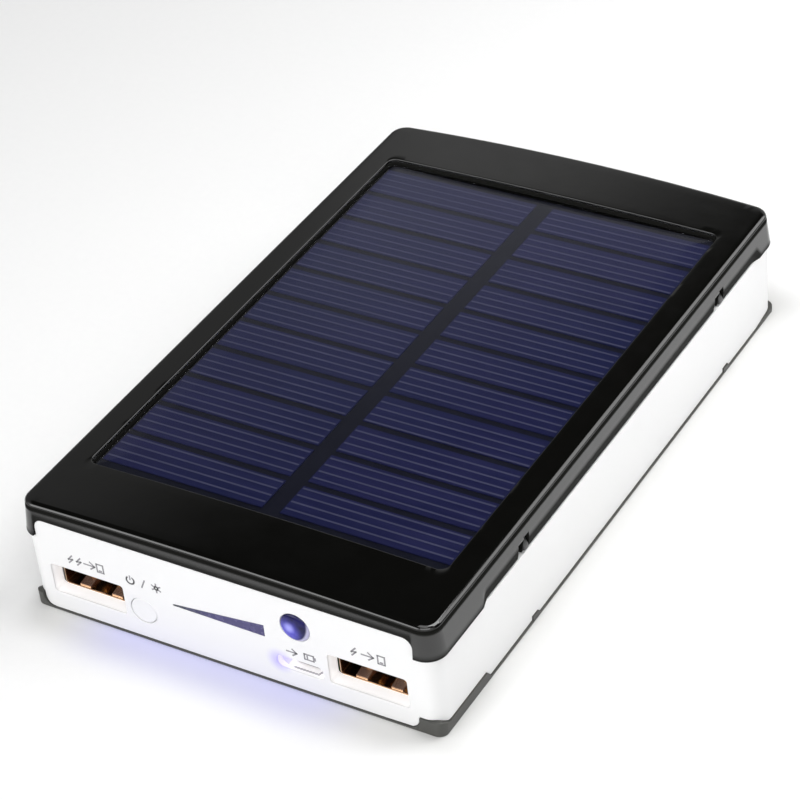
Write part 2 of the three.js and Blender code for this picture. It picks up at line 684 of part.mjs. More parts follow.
addPart('middle_frame', 'white_gloss', middleFrame());
addPart('top_cover', 'black_gloss', topCover());
addPart('bottom_cover', 'dark_grey', bottomCover());
addSolarPanel();
addPart('battery_lower', 'pouch_foil', pouchCell(PACK.low));
addPart('battery_upper', 'pouch_foil', pouchCell(UPPER_LOW));
addPart('battery_pad', 'foam', batteryPad());
addPart('cell_strap_left', 'nickel', cellStrap(-1));
addPart('cell_strap_right', 'nickel', cellStrap(1));
addPart('main_board', 'green_board', mainBoard());
addPart('board_screw_left', 'steel', boardScrew(-1));
addPart('board_screw_right', 'steel', boardScrew(1));
addPart('usb_left_shell', 'steel', usbShell(USB_LEFT));
addPart('usb_left_tongue', 'black_nylon', usbTongue(USB_LEFT));
addPart('usb_right_shell', 'steel', usbShell(USB_RIGHT));
addPart('usb_right_tongue', 'black_nylon', usbTongue(USB_RIGHT));
addPart('micro_usb_shell', 'steel', microShell());
addPart('micro_usb_tongue', 'black_nylon', microTongue());
addPart('button_cap', 'white_gloss', buttonCap());
addPart('switch_base', 'black_nylon', switchBase());
addPart('switch_plunger', 'black_nylon', switchPlunger());
addPart('gauge_guide', 'blue_guide', gaugeGuide());
for (let i = 0; i < 4; i++) {
  addPart(`gauge_lamp_${i + 1}`, 'lamp', gaugeLamp(i));
}
addPart('torch_lamp', 'blue_lens', torchLamp());
addPart('boost_inductor', 'ferrite', inductor());
addPart('boost_chip', 'chip', onBoard(-8, -50, 4, 5, 1.6));
addPart('control_chip', 'chip', onBoard(-9.5, -45.2, 6, 4, 1.5));
addPart('output_capacitor', 'nickel', rodZ([10.5, -46.2], 2.5, PCB.high + SOLDER, PCB.high + 6.8, 20));
addPart('solar_diode', 'chip', onBoard(0, -42, 3, 2.4, 2));
addPart('battery_lead_plus', 'red_wire', batteryLead(1));
addPart('battery_lead_minus', 'black_wire', batteryLead(-1));
addPart('solar_lead_plus', 'red_wire', solarLead(1));
addPart('solar_lead_minus', 'black_wire', solarLead(-1));

export default charger;
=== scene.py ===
from math import acos, copysign, cos, degrees, pi, radians, sin, sqrt

import bmesh
import bpy
from mathutils import Matrix, Vector
from mathutils.geometry import tessellate_polygon


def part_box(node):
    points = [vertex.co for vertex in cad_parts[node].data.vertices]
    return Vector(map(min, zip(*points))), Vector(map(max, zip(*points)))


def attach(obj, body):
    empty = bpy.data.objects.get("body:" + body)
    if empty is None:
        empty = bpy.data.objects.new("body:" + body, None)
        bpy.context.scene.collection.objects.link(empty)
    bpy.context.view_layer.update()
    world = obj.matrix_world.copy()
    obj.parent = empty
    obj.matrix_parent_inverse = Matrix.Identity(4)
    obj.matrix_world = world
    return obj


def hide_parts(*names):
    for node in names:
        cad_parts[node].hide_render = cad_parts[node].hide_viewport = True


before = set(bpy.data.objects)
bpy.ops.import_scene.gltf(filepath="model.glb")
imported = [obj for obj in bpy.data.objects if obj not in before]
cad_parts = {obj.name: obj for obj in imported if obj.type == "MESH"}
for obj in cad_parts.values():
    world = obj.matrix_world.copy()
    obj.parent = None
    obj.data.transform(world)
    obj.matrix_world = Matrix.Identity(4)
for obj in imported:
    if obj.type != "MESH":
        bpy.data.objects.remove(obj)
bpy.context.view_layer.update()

# Solar phone charger. Lengths are in millimetres up to Build.piece(), which turns them into metres.
# X runs across the ports, Y from the ports (-Y) to the rear end, Z up from the table.
MM = 0.001


def node_box(node):
    low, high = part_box(node)
    return tuple(low / MM), tuple(high / MM)


def middle_of(node):
    low, high = node_box(node)
    return [(a + b) / 2 for a, b in zip(low, high)]


# ---- dimensions taken from the frame

LID_LOW, LID_HIGH = node_box("top_cover")
FRAME_LOW, FRAME_HIGH = node_box("middle_frame")
RESIN_LOW, RESIN_HIGH = node_box("panel_resin")
FLARE = 0.65  # the top cover's flanges widen by this much down to their lip
HALF_WIDTH = LID_HIGH[0] - FLARE
HALF_LENGTH = LID_HIGH[1] - FLARE
LID_EASE = 0.2  # the visual cover's lip and top edge lie this much lower than its CAD shape's
TOP_LIP = LID_LOW[2] - LID_EASE
FACE = FRAME_LOW[1]  # the white end face
FACE_INSET = FACE + HALF_LENGTH

# ---- dimensions of the mouldings

CORNER = 2.8
BASE_CORNER = 1.3
CROWN = 0.6
EDGE_HEIGHT = LID_HIGH[2] - CROWN - LID_EASE
REAR_BULGE = 1.1
SKIN = 1.2
FOLD = 0.65
FOLD_WIDTH = 1.0
CREASE_DEPTH = 0.2  # the line pressed in under the fold
CREASE_HALF = 0.25
CREASE_UNDER = 0.9  # from the top face down to the crease
CREASE_LEVEL = EDGE_HEIGHT + CROWN - CREASE_UNDER  # where the crease would be at the middle of an end
LEAN = 0.7
LEAN_TOP = 17.9
LIP_ROUND = 0.22
LID_END = (-35.2, 34.0)
BASE_END = (-36.0, 33.7)
END_HIGH = 18.35
END_LOW = 0.3
END_RADIUS = 1.9
BASE_SKIN = 0.85
BASE_OUT = 0.3  # the bottom cover stands out this far
BASE_RIM = 0.35
BASE_WRAP = 1.8
FRONT_WRAP = node_box("bottom_cover")[1][2]
FRONT_RISE = -58.4
RISE_LENGTH = 1.5
BASE_EDGE = 0.15
WRAP_FRONT = -45.6
WRAP_REAR = 52.0
FRONT_SLOPE = 1.2
REAR_SLOPE = 6.0
REAR_SHARE = 0.6
LATCHES = (-33.0, 37.2)
LATCH_SLOT = 1.8
LATCH_TAB = 1.6
LATCH_HIGH = 17.6
TAB_RECESS = 0.9
BUMP_OFFSET = 1.0
BUMP_LENGTH = 2.5
BUMP_HEIGHT = 0.7
GAP = 0.2
WALL_INSET = 2.5
CORE_INSET = SKIN + 0.3
CORE_LOW = 1.4
CORE_HIGH = FRAME_HIGH[2]
WINDOW_X = 32.6
WINDOW_FRONT = -47.75
WINDOW_REAR = 48.4
WINDOW_RADIUS = 1.6
RIM_ROUND = 0.22
TRAY_LOW = node_box("panel_board")[0][2]
LEDGE = 3.0
LEDGE_THICKNESS = 1.2
STEP = 0.01  # half width of the sliver where an edge jumps to another height

# ---- materials

SOCKETS = {"colour": "Base Color", "roughness": "Roughness", "metallic": "Metallic", "normal": "Normal",
           "ior": "IOR", "specular": "Specular IOR Level", "glow": "Emission Strength",
           "glow_colour": "Emission Color"}


class Nodes:
    """A node tree, with short names for the nodes that are used again and again."""

    def __init__(self, tree):
        self.tree = tree
        tree.nodes.clear()

    def new(self, kind, **settings):
        node = self.tree.nodes.new("ShaderNode" + kind)
        for name, value in settings.items():
            setattr(node, name, value)
        return node

    def feed(self, socket, value):
        """Links another node's output to a socket, or writes a number or a colour into it."""
        if isinstance(value, bpy.types.NodeSocket):
            self.tree.links.new(value, socket)
        else:
            socket.default_value = (*value, 1) if isinstance(value, tuple) else value

    def calc(self, operation, a, b=0.0):
        node = self.new("Math", operation=operation)
        self.feed(node.inputs[0], a)
        self.feed(node.inputs[1], b)
        return node.outputs[0]

    def times(self, first, *others):
        for other in others:
            first = self.calc("MULTIPLY", first, other)
        return first

    def plus(self, a, b):
        return self.calc("ADD", a, b)

    def ramp(self, value, start, end, low=0, high=1, course="SMOOTHSTEP"):
        """Goes from low at start to high at end, and stays there."""
        node = self.new("MapRange", interpolation_type=course)
        for name, number in (("From Min", start), ("From Max", end), ("To Min", low), ("To Max", high)):
            node.inputs[name].default_value = number
        self.feed(node.inputs["Value"], value)
        return node.outputs["Result"]

    def band(self, value, outer_low, inner_low, inner_high, outer_high):
        """1 between the inner limits, falling to 0 at the outer ones."""
        return self.times(self.ramp(value, outer_low, inner_low), self.ramp(value, outer_high, inner_high))

    def spread(self, value, low=0, high=1):
        """Maps the middle of a noise's range to low..high."""
        return self.ramp(value, 0.3, 0.7, low, high, "LINEAR")

    def blend(self, factor, first, second):
        node = self.new("Mix", data_type="RGBA")
        for index, value in ((0, factor), (6, first), (7, second)):
            self.feed(node.inputs[index], value)
        return node.outputs[2]

    def split(self, vector):
        node = self.new("SeparateXYZ")
        self.feed(node.inputs[0], vector)
        return node.outputs

    def texture_place(self, name="Object"):
        return self.new("TexCoord").outputs[name]

    def place(self):
        """X, Y and Z of a point on the piece, in millimetres."""
        node = self.new("VectorMath", operation="SCALE")
        node.inputs["Scale"].default_value = 1 / MM
        self.feed(node.inputs[0], self.texture_place())
        return self.split(node.outputs[0])

    def near(self, centre, inner, outer):
        """1 within inner millimetres of a point, falling to 0 at outer."""
        node = self.new("VectorMath", operation="DISTANCE")
        node.inputs[1].default_value = [c * MM for c in centre]
        self.feed(node.inputs[0], self.texture_place())
        return self.ramp(node.outputs["Value"], inner * MM, outer * MM, 1, 0)

    def noise(self, size, detail=2, stretch=(1, 1, 1)):
        """A noise whose blotches are about size millimetres across."""
        scale = self.new("Mapping")
        scale.inputs["Scale"].default_value = stretch
        node = self.new("TexNoise")
        node.inputs["Scale"].default_value = 1 / (size * MM)
        node.inputs["Detail"].default_value = detail
        self.feed(scale.inputs["Vector"], self.texture_place())
        self.feed(node.inputs["Vector"], scale.outputs["Vector"])
        return node.outputs[0]

    def drift(self, size, detail=2, low=0, high=1):
        return self.spread(self.noise(size, detail), low, high)

    def bump(self, height, depth):
        node = self.new("Bump")
        node.inputs["Distance"].default_value = depth * MM
        self.feed(node.inputs["Height"], height)
        return node.outputs["Normal"]


class Paint(Nodes):
    """A material whose look comes from one shader."""

    def __init__(self, name, shader="BsdfPrincipled"):
        self.material = bpy.data.materials.new(name)
        self.material.use_nodes = True
        super().__init__(self.material.node_tree)
        self.surface = self.new("OutputMaterial").inputs["Surface"]
        self.shader = self.new(shader)
        self.feed(self.surface, self.shader.outputs[0])

    def set(self, **values):
        for name, value in values.items():
            self.feed(self.shader.inputs[SOCKETS[name]], value)
        return self.material

    def mix(self, shader, *values):
        for socket, value in zip(shader.inputs, values):
            self.feed(socket, value)
        self.feed(self.surface, shader.outputs[0])
        return self.material


def surface(name, colour, other, roughness, grain=(0.25, 0.004), patch=9, **others):
    """A moulded, painted or metal surface: its colour drifts between two near tones and its
    roughness varies in soft patches, over a fine grain of (size, depth)."""
    paint = Paint(name)
    return paint.set(
        colour=paint.blend(paint.drift(patch), colour, other),
        roughness=paint.drift(patch * 0.4, 4, *roughness),
        normal=paint.bump(paint.noise(grain[0], 3), grain[1]), **others)


def brushed(name, colour, other, roughness, along=(6, 1, 6), **others):
    """Sheet metal with fine drawn lines."""
    paint = Paint(name)
    lines = paint.noise(6, 3, along)
    return paint.set(
        colour=paint.blend(paint.spread(lines), colour, other), metallic=1,
        roughness=paint.spread(lines, *roughness), normal=paint.bump(lines, 0.003), **others)


def silicon():
    """Dark blue cell: fine streaks along the strip and a slow drift of hue."""
    paint = Paint("silicon")
    streaks = paint.spread(paint.noise(4, 4, (0.25, 3, 1)))
    deep = paint.blend(streaks, (0.007, 0.010, 0.048), (0.010, 0.013, 0.058))
    violet = paint.blend(streaks, (0.011, 0.012, 0.053), (0.015, 0.015, 0.066))
    return paint.set(
        colour=paint.blend(paint.drift(26), deep, violet), metallic=0.2, specular=0.3,
        roughness=paint.spread(streaks, 0.28, 0.4), normal=paint.bump(streaks, 0.002))


def clear_resin():
    """What lies behind shows through, and the skin mirrors more at a glancing angle."""
    paint = Paint("clear_resin", "MixShader")
    clear = paint.new("BsdfTransparent")
    gloss = paint.new("BsdfGlossy")
    facing = paint.new("LayerWeight")
    clear.inputs["Color"].default_value = (0.96, 0.97, 1.0, 1)
    paint.feed(gloss.inputs["Roughness"], paint.drift(18, 3, 0.05, 0.09))
    ripple = paint.bump(paint.noise(14, 1), 0.006)
    for node in (gloss, facing):
        paint.feed(node.inputs["Normal"], ripple)
    glancing = paint.calc("POWER", facing.outputs["Facing"], 5)
    mirror = paint.ramp(glancing, 0, 1, 0.04, 1, "LINEAR")
    return paint.mix(paint.shader, mirror, clear.outputs[0], gloss.outputs[0])


def black_plastic():
    """High-gloss black moulding with a faint orange peel. On its lower lip and in the crease under the fold
    the gloss gives way to painted shade, a dark diffuse."""
    paint = Paint("black_lid")
    paint.set(
        colour=paint.blend(paint.drift(9), (0.0014, 0.0014, 0.0011), (0.0019, 0.0019, 0.0015)),
        roughness=paint.drift(4, 4, 0.08, 0.12), ior=1.7, normal=paint.bump(paint.noise(1.6), 0.002))

    x, y, z = paint.place()
    wrap_drop = 1.8  # the painted shade on the lip sits this much lower on the corner wraps
    wrap = paint.plus(paint.ramp(y, -45, -47, 0, wrap_drop), paint.ramp(y, 52, 54, 0, wrap_drop))
    side = paint.ramp(paint.plus(z, wrap), 16.5, 18.3)
    end = paint.ramp(z, 18.5, 20.3)
    left, right = LID_END
    on_end = paint.band(x, left - 0.2, left + 0.5, right - 0.5, right + 0.2)
    lip = paint.plus(side, paint.times(paint.calc("SUBTRACT", end, side), on_end))
    square = paint.calc("POWER", paint.calc("ABSOLUTE", x), 2)
    level = paint.plus(z, paint.times(square, CROWN / HALF_WIDTH ** 2))
    below = paint.ramp(level, CREASE_LEVEL - 0.3, CREASE_LEVEL - 0.75)
    above = paint.ramp(level, CREASE_LEVEL + 0.2, CREASE_LEVEL + 0.5)
    gloss = paint.times(paint.ramp(lip, 0, 1, 0.1), paint.plus(below, above))

    # painted shade: a dark diffuse that takes the place of the gloss on the lip and in the crease
    painted_shade = paint.new("BsdfDiffuse")
    painted_shade.inputs["Color"].default_value = (0.012, 0.012, 0.011, 1)
    return paint.mix(paint.new("MixShader"), gloss, painted_shade.outputs[0], paint.shader.outputs[0])


def white_plastic():
    """Glossy white moulding. The walls inside the port holes glow with painted light, and by the input
    socket the violet light of an indicator lamp is painted into its colour."""
    paint = Paint("white_plastic")
    white = paint.blend(paint.drift(30), (0.835, 0.835, 0.84), (0.845, 0.845, 0.845))
    x, y, z = paint.place()
    inside = paint.band(y, FACE + 0.15, FACE + 0.5, FACE + 2.9, FACE + 3.2)
    ports = paint.ramp(paint.calc("ABSOLUTE", x), 34.5, 34)
    button = paint.ramp(paint.near(middle_of("button_cap"), 3.5, 4.5), 0, 1, 1, 0)
    # painted light: a violet pool in the colour around GLOW_AT, and a glow inside the port holes
    return paint.set(
        colour=paint.blend(paint.near(GLOW_AT, 0.3, 2.9), white, LAMP_VIOLET_LIGHT),
        roughness=paint.drift(20, 1, 0.28, 0.32),
        normal=paint.bump(paint.noise(1.5, 1), 0.0008),
        glow=paint.times(inside, ports, button, PORT_GLOW), glow_colour=(1.0, 0.97, 0.96))


def gauge_window():
    """Tinted window: violet blue, greyer towards the wedge's tip."""
    paint = Paint("gauge_window")
    low, high = node_box("gauge_guide")
    along = paint.ramp(paint.place()[0], low[0], low[0] + 0.45 * (high[0] - low[0]), course="LINEAR")
    grain = paint.drift(1.2)
    body = paint.blend(grain, (0.052, 0.045, 0.145), (0.062, 0.054, 0.165))
    return paint.set(
        colour=paint.blend(along, (0.035, 0.045, 0.05), body),
        roughness=paint.spread(grain, 0.2, 0.3), normal=paint.bump(paint.noise(0.4), 0.003))


def tin_plate():
    """Matt tin plating with painted shade, grey on its rim and deep inside, and with painted light in
    between, violet near the indicator lamp.
    """
    paint = Paint("tin_plate")
    drift = paint.drift(1.5)
    tin = paint.blend(drift, (0.84, 0.83, 0.82), (0.90, 0.89, 0.88))
    glow = paint.near(GLOW_AT, 0.6, 3.0)
    x, y, z = paint.place()
    rim = paint.ramp(y, FACE + 0.95, FACE + 0.8)
    deep = paint.ramp(y, FACE + 1.7, FACE + 2.1)
    beyond_lamp = paint.ramp(x, MICRO[0] - 2.2, MICRO[0] - 1.2)
    shade = paint.times(paint.calc("MAXIMUM", rim, deep), beyond_lamp)
    return paint.set(
        colour=paint.blend(shade, paint.blend(glow, tin, LAMP_VIOLET_LIGHT), (0.40, 0.39, 0.41)),
        roughness=paint.spread(drift, 0.4, 0.5), metallic=0.25,
        normal=paint.bump(paint.noise(0.3), 0.002),
        glow=paint.ramp(shade, 0, 1, 0.4, 0),
        glow_colour=paint.blend(glow, (1.0, 0.98, 1.0), (0.72, 0.68, 1.0)))


def lamp_lens():
    """Blue cast resin with painted light: nearly black where it looks past the lamp's cup, brighter over the
    cup, a pale painted glint, and a painted silvery reflection of the white hole around it on its flank."""
    paint = Paint("lamp_lens")
    x, y, z = TORCH[0], node_box("torch_lamp")[0][1] + 0.2, TORCH_Z
    grain = paint.drift(0.9)
    dark = paint.blend(grain, (0.006, 0.006, 0.045), (0.014, 0.012, 0.10))
    lit = paint.blend(grain, (0.070, 0.065, 0.50), (0.12, 0.11, 0.64))
    # painted light over the cup, a painted glint, and a painted reflection on the flank
    cup = paint.blend(paint.near((x - 0.8, y + 0.4, z - 0.5), 0.9, 2.7), dark, lit)
    glint = paint.blend(paint.near((x - 0.6, y, z + 0.2), 0.15, 1.3), cup, (0.42, 0.43, 0.95))
    flank_reflection = paint.near((x - 0.75, y + 0.3, z + 0.6), 2.85, 3.2)
    return paint.set(
        colour=paint.blend(flank_reflection, (0.50, 0.48, 0.68), glint), specular=0.3,
        roughness=paint.spread(grain, 0.06, 0.12), normal=paint.bump(paint.noise(2), 0.002))


MICRO = middle_of("micro_usb_shell")
TORCH = middle_of("torch_lamp")
TORCH_Z = 13.0
# the indicator lamp's violet light and the glow inside the port holes are painted light, centred on GLOW_AT
LAMP_VIOLET_LIGHT = (0.57, 0.53, 0.90)
PORT_GLOW = 0.34
GLOW_AT = (MICRO[0] - 3.6, FACE + 0.3, MICRO[2] + 0.1)

BLACK = black_plastic()
HOOK = surface("black_hook", (0.006, 0.006, 0.006), (0.009, 0.009, 0.009), (0.28, 0.36), patch=2, ior=1.75)
WHITE = white_plastic()
GREY = surface("grey_base", (0.060, 0.060, 0.055), (0.070, 0.070, 0.065), (0.42, 0.5), (0.18, 0.01))
BACKING = surface("panel_backing", (0.0028, 0.0033, 0.0085), (0.0042, 0.0047, 0.011), (0.35, 0.5), ior=1.3)
SILICON = silicon()
FINGER = surface("finger_silver", (0.048, 0.050, 0.100), (0.058, 0.060, 0.116), (0.35, 0.45), (0.12, 0.004),
                 metallic=0.3)
RESIN = clear_resin()
STEEL = brushed("socket_steel", (0.46, 0.31, 0.20), (0.58, 0.40, 0.27), (0.12, 0.2))
# the springs glow faintly with a painted warm light
SPRING = brushed("spring_steel", (0.86, 0.74, 0.66), (0.93, 0.82, 0.72), (0.18, 0.28), glow=0.05,
                 glow_colour=(1.0, 0.50, 0.36))
GOLD = brushed("contact_gold", (0.82, 0.56, 0.22), (0.9, 0.64, 0.28), (0.2, 0.3))
NYLON = surface("black_nylon", (0.010, 0.007, 0.006), (0.016, 0.011, 0.008), (0.4, 0.55), (0.1, 0.01))
NICKEL = brushed("nickel", (0.55, 0.55, 0.52), (0.64, 0.63, 0.6), (0.25, 0.35), along=(1, 1, 1))
FOIL = brushed("pouch_foil", (0.58, 0.59, 0.61), (0.66, 0.67, 0.69), (0.3, 0.45), along=(1, 2, 1))
FOAM = surface("foam", (0.04, 0.04, 0.045), (0.06, 0.06, 0.065), (0.85, 0.95), (0.5, 0.08))
BOARD = surface("board_mask", (0.012, 0.09, 0.03), (0.018, 0.12, 0.042), (0.3, 0.4), patch=3)
CHIP = surface("chip_black", (0.012, 0.012, 0.013), (0.018, 0.018, 0.02), (0.5, 0.6), (0.08, 0.01))
FERRITE = surface("ferrite", (0.03, 0.03, 0.033), (0.045, 0.045, 0.05), (0.6, 0.75), (0.15, 0.03))
LAMP = surface("lamp_phosphor", (0.75, 0.68, 0.36), (0.82, 0.76, 0.48), (0.3, 0.4), patch=0.8)
RED_WIRE = surface("red_wire", (0.4, 0.018, 0.012), (0.48, 0.026, 0.018), (0.4, 0.5), patch=2)
BLACK_WIRE = surface("black_wire", (0.01, 0.01, 0.01), (0.016, 0.016, 0.016), (0.4, 0.5), patch=2)
PRINT = surface("print_grey", (0.25, 0.245, 0.26), (0.31, 0.30, 0.32), (0.5, 0.6), patch=0.6)
WINDOW = gauge_window()
TIN = tin_plate()
LENS = lamp_lens()

# ---- pieces


def new_object(name, data):
    made = bpy.data.objects.new(name, data)
    bpy.context.scene.collection.objects.link(made)
    return made


class Build:
    """Collects vertices and faces of one piece."""

    def __init__(self):
        self.vertices = []
        self.faces = []

    def add(self, vertices, faces):
        start = len(self.vertices)
        self.vertices.extend(vertices)
        self.faces.extend([[start + i for i in face] for face in faces])

    def rows(self, loops, ring, closed):
        """Faces between neighbouring loops of equal length. A ring also joins the last loop to the first,
        and in a closed loop the last point is next to the first."""
        n = len(loops[0])
        faces = []
        for a in range(len(loops) if ring else len(loops) - 1):
            b = (a + 1) % len(loops)
            for i in range(n if closed else n - 1):
                j = (i + 1) % n
                faces.append([a * n + i, a * n + j, b * n + j, b * n + i])
        self.add([point for loop in loops for point in loop], faces)

    def ring(self, loops):
        self.rows(loops, True, True)

    def tube(self, loops):
        self.rows(loops, False, True)

    def solid(self, loops):
        """A tube with a cap at either end."""
        n = len(loops[0])
        start = len(self.vertices)
        self.tube(loops)
        self.faces.append([start + i for i in range(n)][::-1])
        self.faces.append([start + (len(loops) - 1) * n + i for i in range(n)])

    def block(self, low, high):
        (x0, y0, z0), (x1, y1, z1) = low, high
        self.solid([[(x0, y0, z), (x1, y0, z), (x1, y1, z), (x0, y1, z)] for z in (z0, z1)])

    def soft_block(self, low, high, radius):
        """A block whose upright edges are round, with a small chamfer above and below."""
        (x0, y0, z0), (x1, y1, z1) = low, high
        cut = radius * 0.5
        loops = []
        for inset, z in ((cut, z0), (0, z0 + cut), (0, z1 - cut), (cut, z1)):
            flat = rounded_loop((x0 + x1) / 2, (y0 + y1) / 2, x1 - x0 - 2 * inset,
                                y1 - y0 - 2 * inset, radius, 3)
            loops.append([(x, y, z) for x, y in flat])
        self.solid(loops)

    def piece(self, name, material, slot, replaces=(), body="case", sharp=32):
        mesh = bpy.data.meshes.new(name)
        mesh.from_pydata([[c * MM for c in v] for v in self.vertices], [], self.faces)
        work = bmesh.new()
        work.from_mesh(mesh)
        bmesh.ops.remove_doubles(work, verts=work.verts, dist=0.0005 * MM)
        bmesh.ops.recalc_face_normals(work, faces=work.faces)
        work.to_mesh(mesh)
        work.free()
        mesh.shade_smooth()
        mesh.set_sharp_from_angle(angle=radians(sharp))
        mesh.materials.append(material)
        piece = new_object(name, mesh)
        piece.modifiers.new("even_normals", "WEIGHTED_NORMAL").keep_sharp = True
        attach(piece, body)
        if replaces:
            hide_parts(*replaces)


def quarter(steps):
    """Cosine and sine at even steps through a quarter turn."""
    turns = [radians(90 * i / steps) for i in range(steps + 1)]
    return [(cos(t), sin(t)) for t in turns]


def share(value, low=0.0, high=1.0):
    """How far value is from low to high, between 0 and 1."""
    return min(1.0, max(0.0, (value - low) / (high - low)))


def rounded_loop(u, v, width, height, radius, steps=6):
    """A rectangle with round corners around (u, v), anticlockwise."""
    points = []
    for turn, (su, sv) in enumerate(((1, -1), (1, 1), (-1, 1), (-1, -1))):
        cu = u + su * (width / 2 - radius)
        cv = v + sv * (height / 2 - radius)
        points += arc(cu, cv, radius, 90 * (turn - 1), 90 * turn, steps)
    return points


def arc(cu, cv, radius, start, end, steps=14):
    angles = [radians(start + (end - start) * i / steps) for i in range(steps + 1)]
    return [(cu + radius * cos(a), cv + radius * sin(a)) for a in angles]


def circle_loop(u, v, radius, sides=64):
    return arc(u, v, radius, 0, 360, sides)[:-1]


def upright(flat, y):
    """A loop of (x, z) set up at y."""
    return [(x, y, z) for x, z in flat]


def turned(build, profile, x, z, sides=64):
    """Turns (radius, y) around an axis along Y. The profile leaves out its two ends on the axis."""
    build.solid([upright(circle_loop(x, z, radius, sides), y) for radius, y in profile])

# ---- the charger's own outline


def crown(x):
    return CROWN * (1 - (x / HALF_WIDTH) ** 2)


def bulge(x):
    return REAR_BULGE * (x / HALF_WIDTH) ** 2


class Station:
    """A place on the outline: where its corner circle's centre is, and the way it faces."""

    def __init__(self, x, y, angle, rear=False, corner=CORNER):
        self.x = x
        self.y = y
        self.angle = angle
        self.rear = rear
        self.corner = corner

    def mirrored(self):
        return Station(-self.x, self.y, pi - self.angle, self.rear, self.corner)

    def at(self, inset):
        reach = self.corner - inset
        x = self.x + reach * cos(self.angle)
        y = self.y + reach * sin(self.angle)
        return x, y - (bulge(x) if self.rear else 0)

    def window(self, margin):
        """The matching place on the panel window's outline, moved out by margin."""
        reach = WINDOW_RADIUS + margin
        half = WINDOW_X - WINDOW_RADIUS
        front = WINDOW_FRONT + WINDOW_RADIUS
        rear = WINDOW_REAR - WINDOW_RADIUS
        limit = HALF_LENGTH - self.corner
        along = 1 if self.rear else (self.y + limit) / (2 * limit - REAR_BULGE)
        x = self.x / (HALF_WIDTH - self.corner) * half + reach * cos(self.angle)
        return x, front + along * (rear - front) + reach * sin(self.angle)

    @property
    def on_side(self):
        return abs(sin(self.angle)) < 1e-6


class Outline:
    """The charger's outline seen from above, as stations. Each of its ends is a (left, right) pair: how
    far across a white end face reaches before the edge of a cover jumps."""

    def __init__(self, ends, corner=CORNER):
        self.ends = ends
        self.corner = corner
        self.flat_x = HALF_WIDTH - corner
        self.flat_y = HALF_LENGTH - corner

    def end(self, front, side):
        """Half of one end, from its middle to the end of its corner. The side is 0 for left, 1 for right."""
        limits = [abs(pair[side]) for pair in self.ends]
        start = min(limits) - END_RADIUS
        places = {i / 14 * start for i in range(14)}
        for limit in limits:
            places |= {limit - END_RADIUS * (1 - s) for _, s in quarter(8)}
            places.add(limit + STEP)
        places |= {self.flat_x + self.corner * s for _, s in quarter(12)[:-1]}
        sign = -1 if front else 1
        stations = []
        last = -1.0
        for x in sorted(places):
            if x - last < STEP / 2:
                continue
            last = x
            angle = sign * acos(share(x, self.flat_x, self.flat_x + self.corner))
            stations.append(Station(min(x, self.flat_x), sign * self.flat_y, angle, not front, self.corner))
        return stations

    def side(self, jumps, bends):
        """The long side from front to rear, with a pair of stations at each jump."""
        length = 2 * self.flat_y - REAR_BULGE
        places = {round(-self.flat_y + i / 30 * length, 3) for i in range(31)}
        for y in jumps:
            places -= {p for p in places if abs(p - y) < 0.3}
            places |= {y - STEP, y + STEP}
        places |= set(bends)
        return [Station(self.flat_x, y, 0.0, False, self.corner) for y in sorted(places)]

    def whole(self, jumps, bends):
        left, right = (self.end(True, side) + self.side(jumps, bends) + self.end(False, side)[::-1]
                       for side in (0, 1))
        return right + [station.mirrored() for station in left[-2:0:-1]]


def end_curve(x, limits, low, high, radius=END_RADIUS):
    """Lower and upper edge of a white end face at x."""
    limit = limits[1] if x > 0 else -limits[0]
    past = min(radius, max(0.0, abs(x) - (limit - radius)))
    rise = radius - sqrt(radius ** 2 - past ** 2)
    return low + rise, high - rise


def within(x, limits, margin=0.0):
    return limits[0] - margin <= x <= limits[1] + margin


def rim_height(y):
    """Height of the bottom cover's rim beside the white end faces: low along the long sides, higher at the
    corner wraps and highest where they turn onto the front."""
    rear = REAR_SHARE * share(y, WRAP_REAR, WRAP_REAR + REAR_SLOPE)
    wrap = max(share(y, WRAP_FRONT, WRAP_FRONT - FRONT_SLOPE), rear)
    front = share(y, FRONT_RISE, FRONT_RISE - RISE_LENGTH)
    return BASE_RIM + (BASE_WRAP - BASE_RIM) * wrap + (FRONT_WRAP - BASE_WRAP) * front


# ---- top cover


def by_latch(y, before, after):
    """Whether y is from before to after the place where a latch's slot meets its tab."""
    return any(latch - before < y < latch + after for latch in LATCHES)


def lid_lip(station):
    x, y = station.at(0)
    if station.on_side:
        return LATCH_HIGH if by_latch(y, LATCH_SLOT, 0) else TOP_LIP
    if within(x, LID_END, STEP / 2):
        return end_curve(x, LID_END, END_LOW, END_HIGH)[1]
    return TOP_LIP


def lid_lean(station, z):
    y = station.y
    if not station.on_side or by_latch(y, 0, LATCH_TAB) or z >= LEAN_TOP:
        return 0.0
    between = share(y, WRAP_FRONT - 1, WRAP_FRONT + 1) * share(y, WRAP_REAR + 1, WRAP_REAR - 1)
    return between * LEAN * ((LEAN_TOP - z) / (LEAN_TOP - TOP_LIP)) ** 1.5


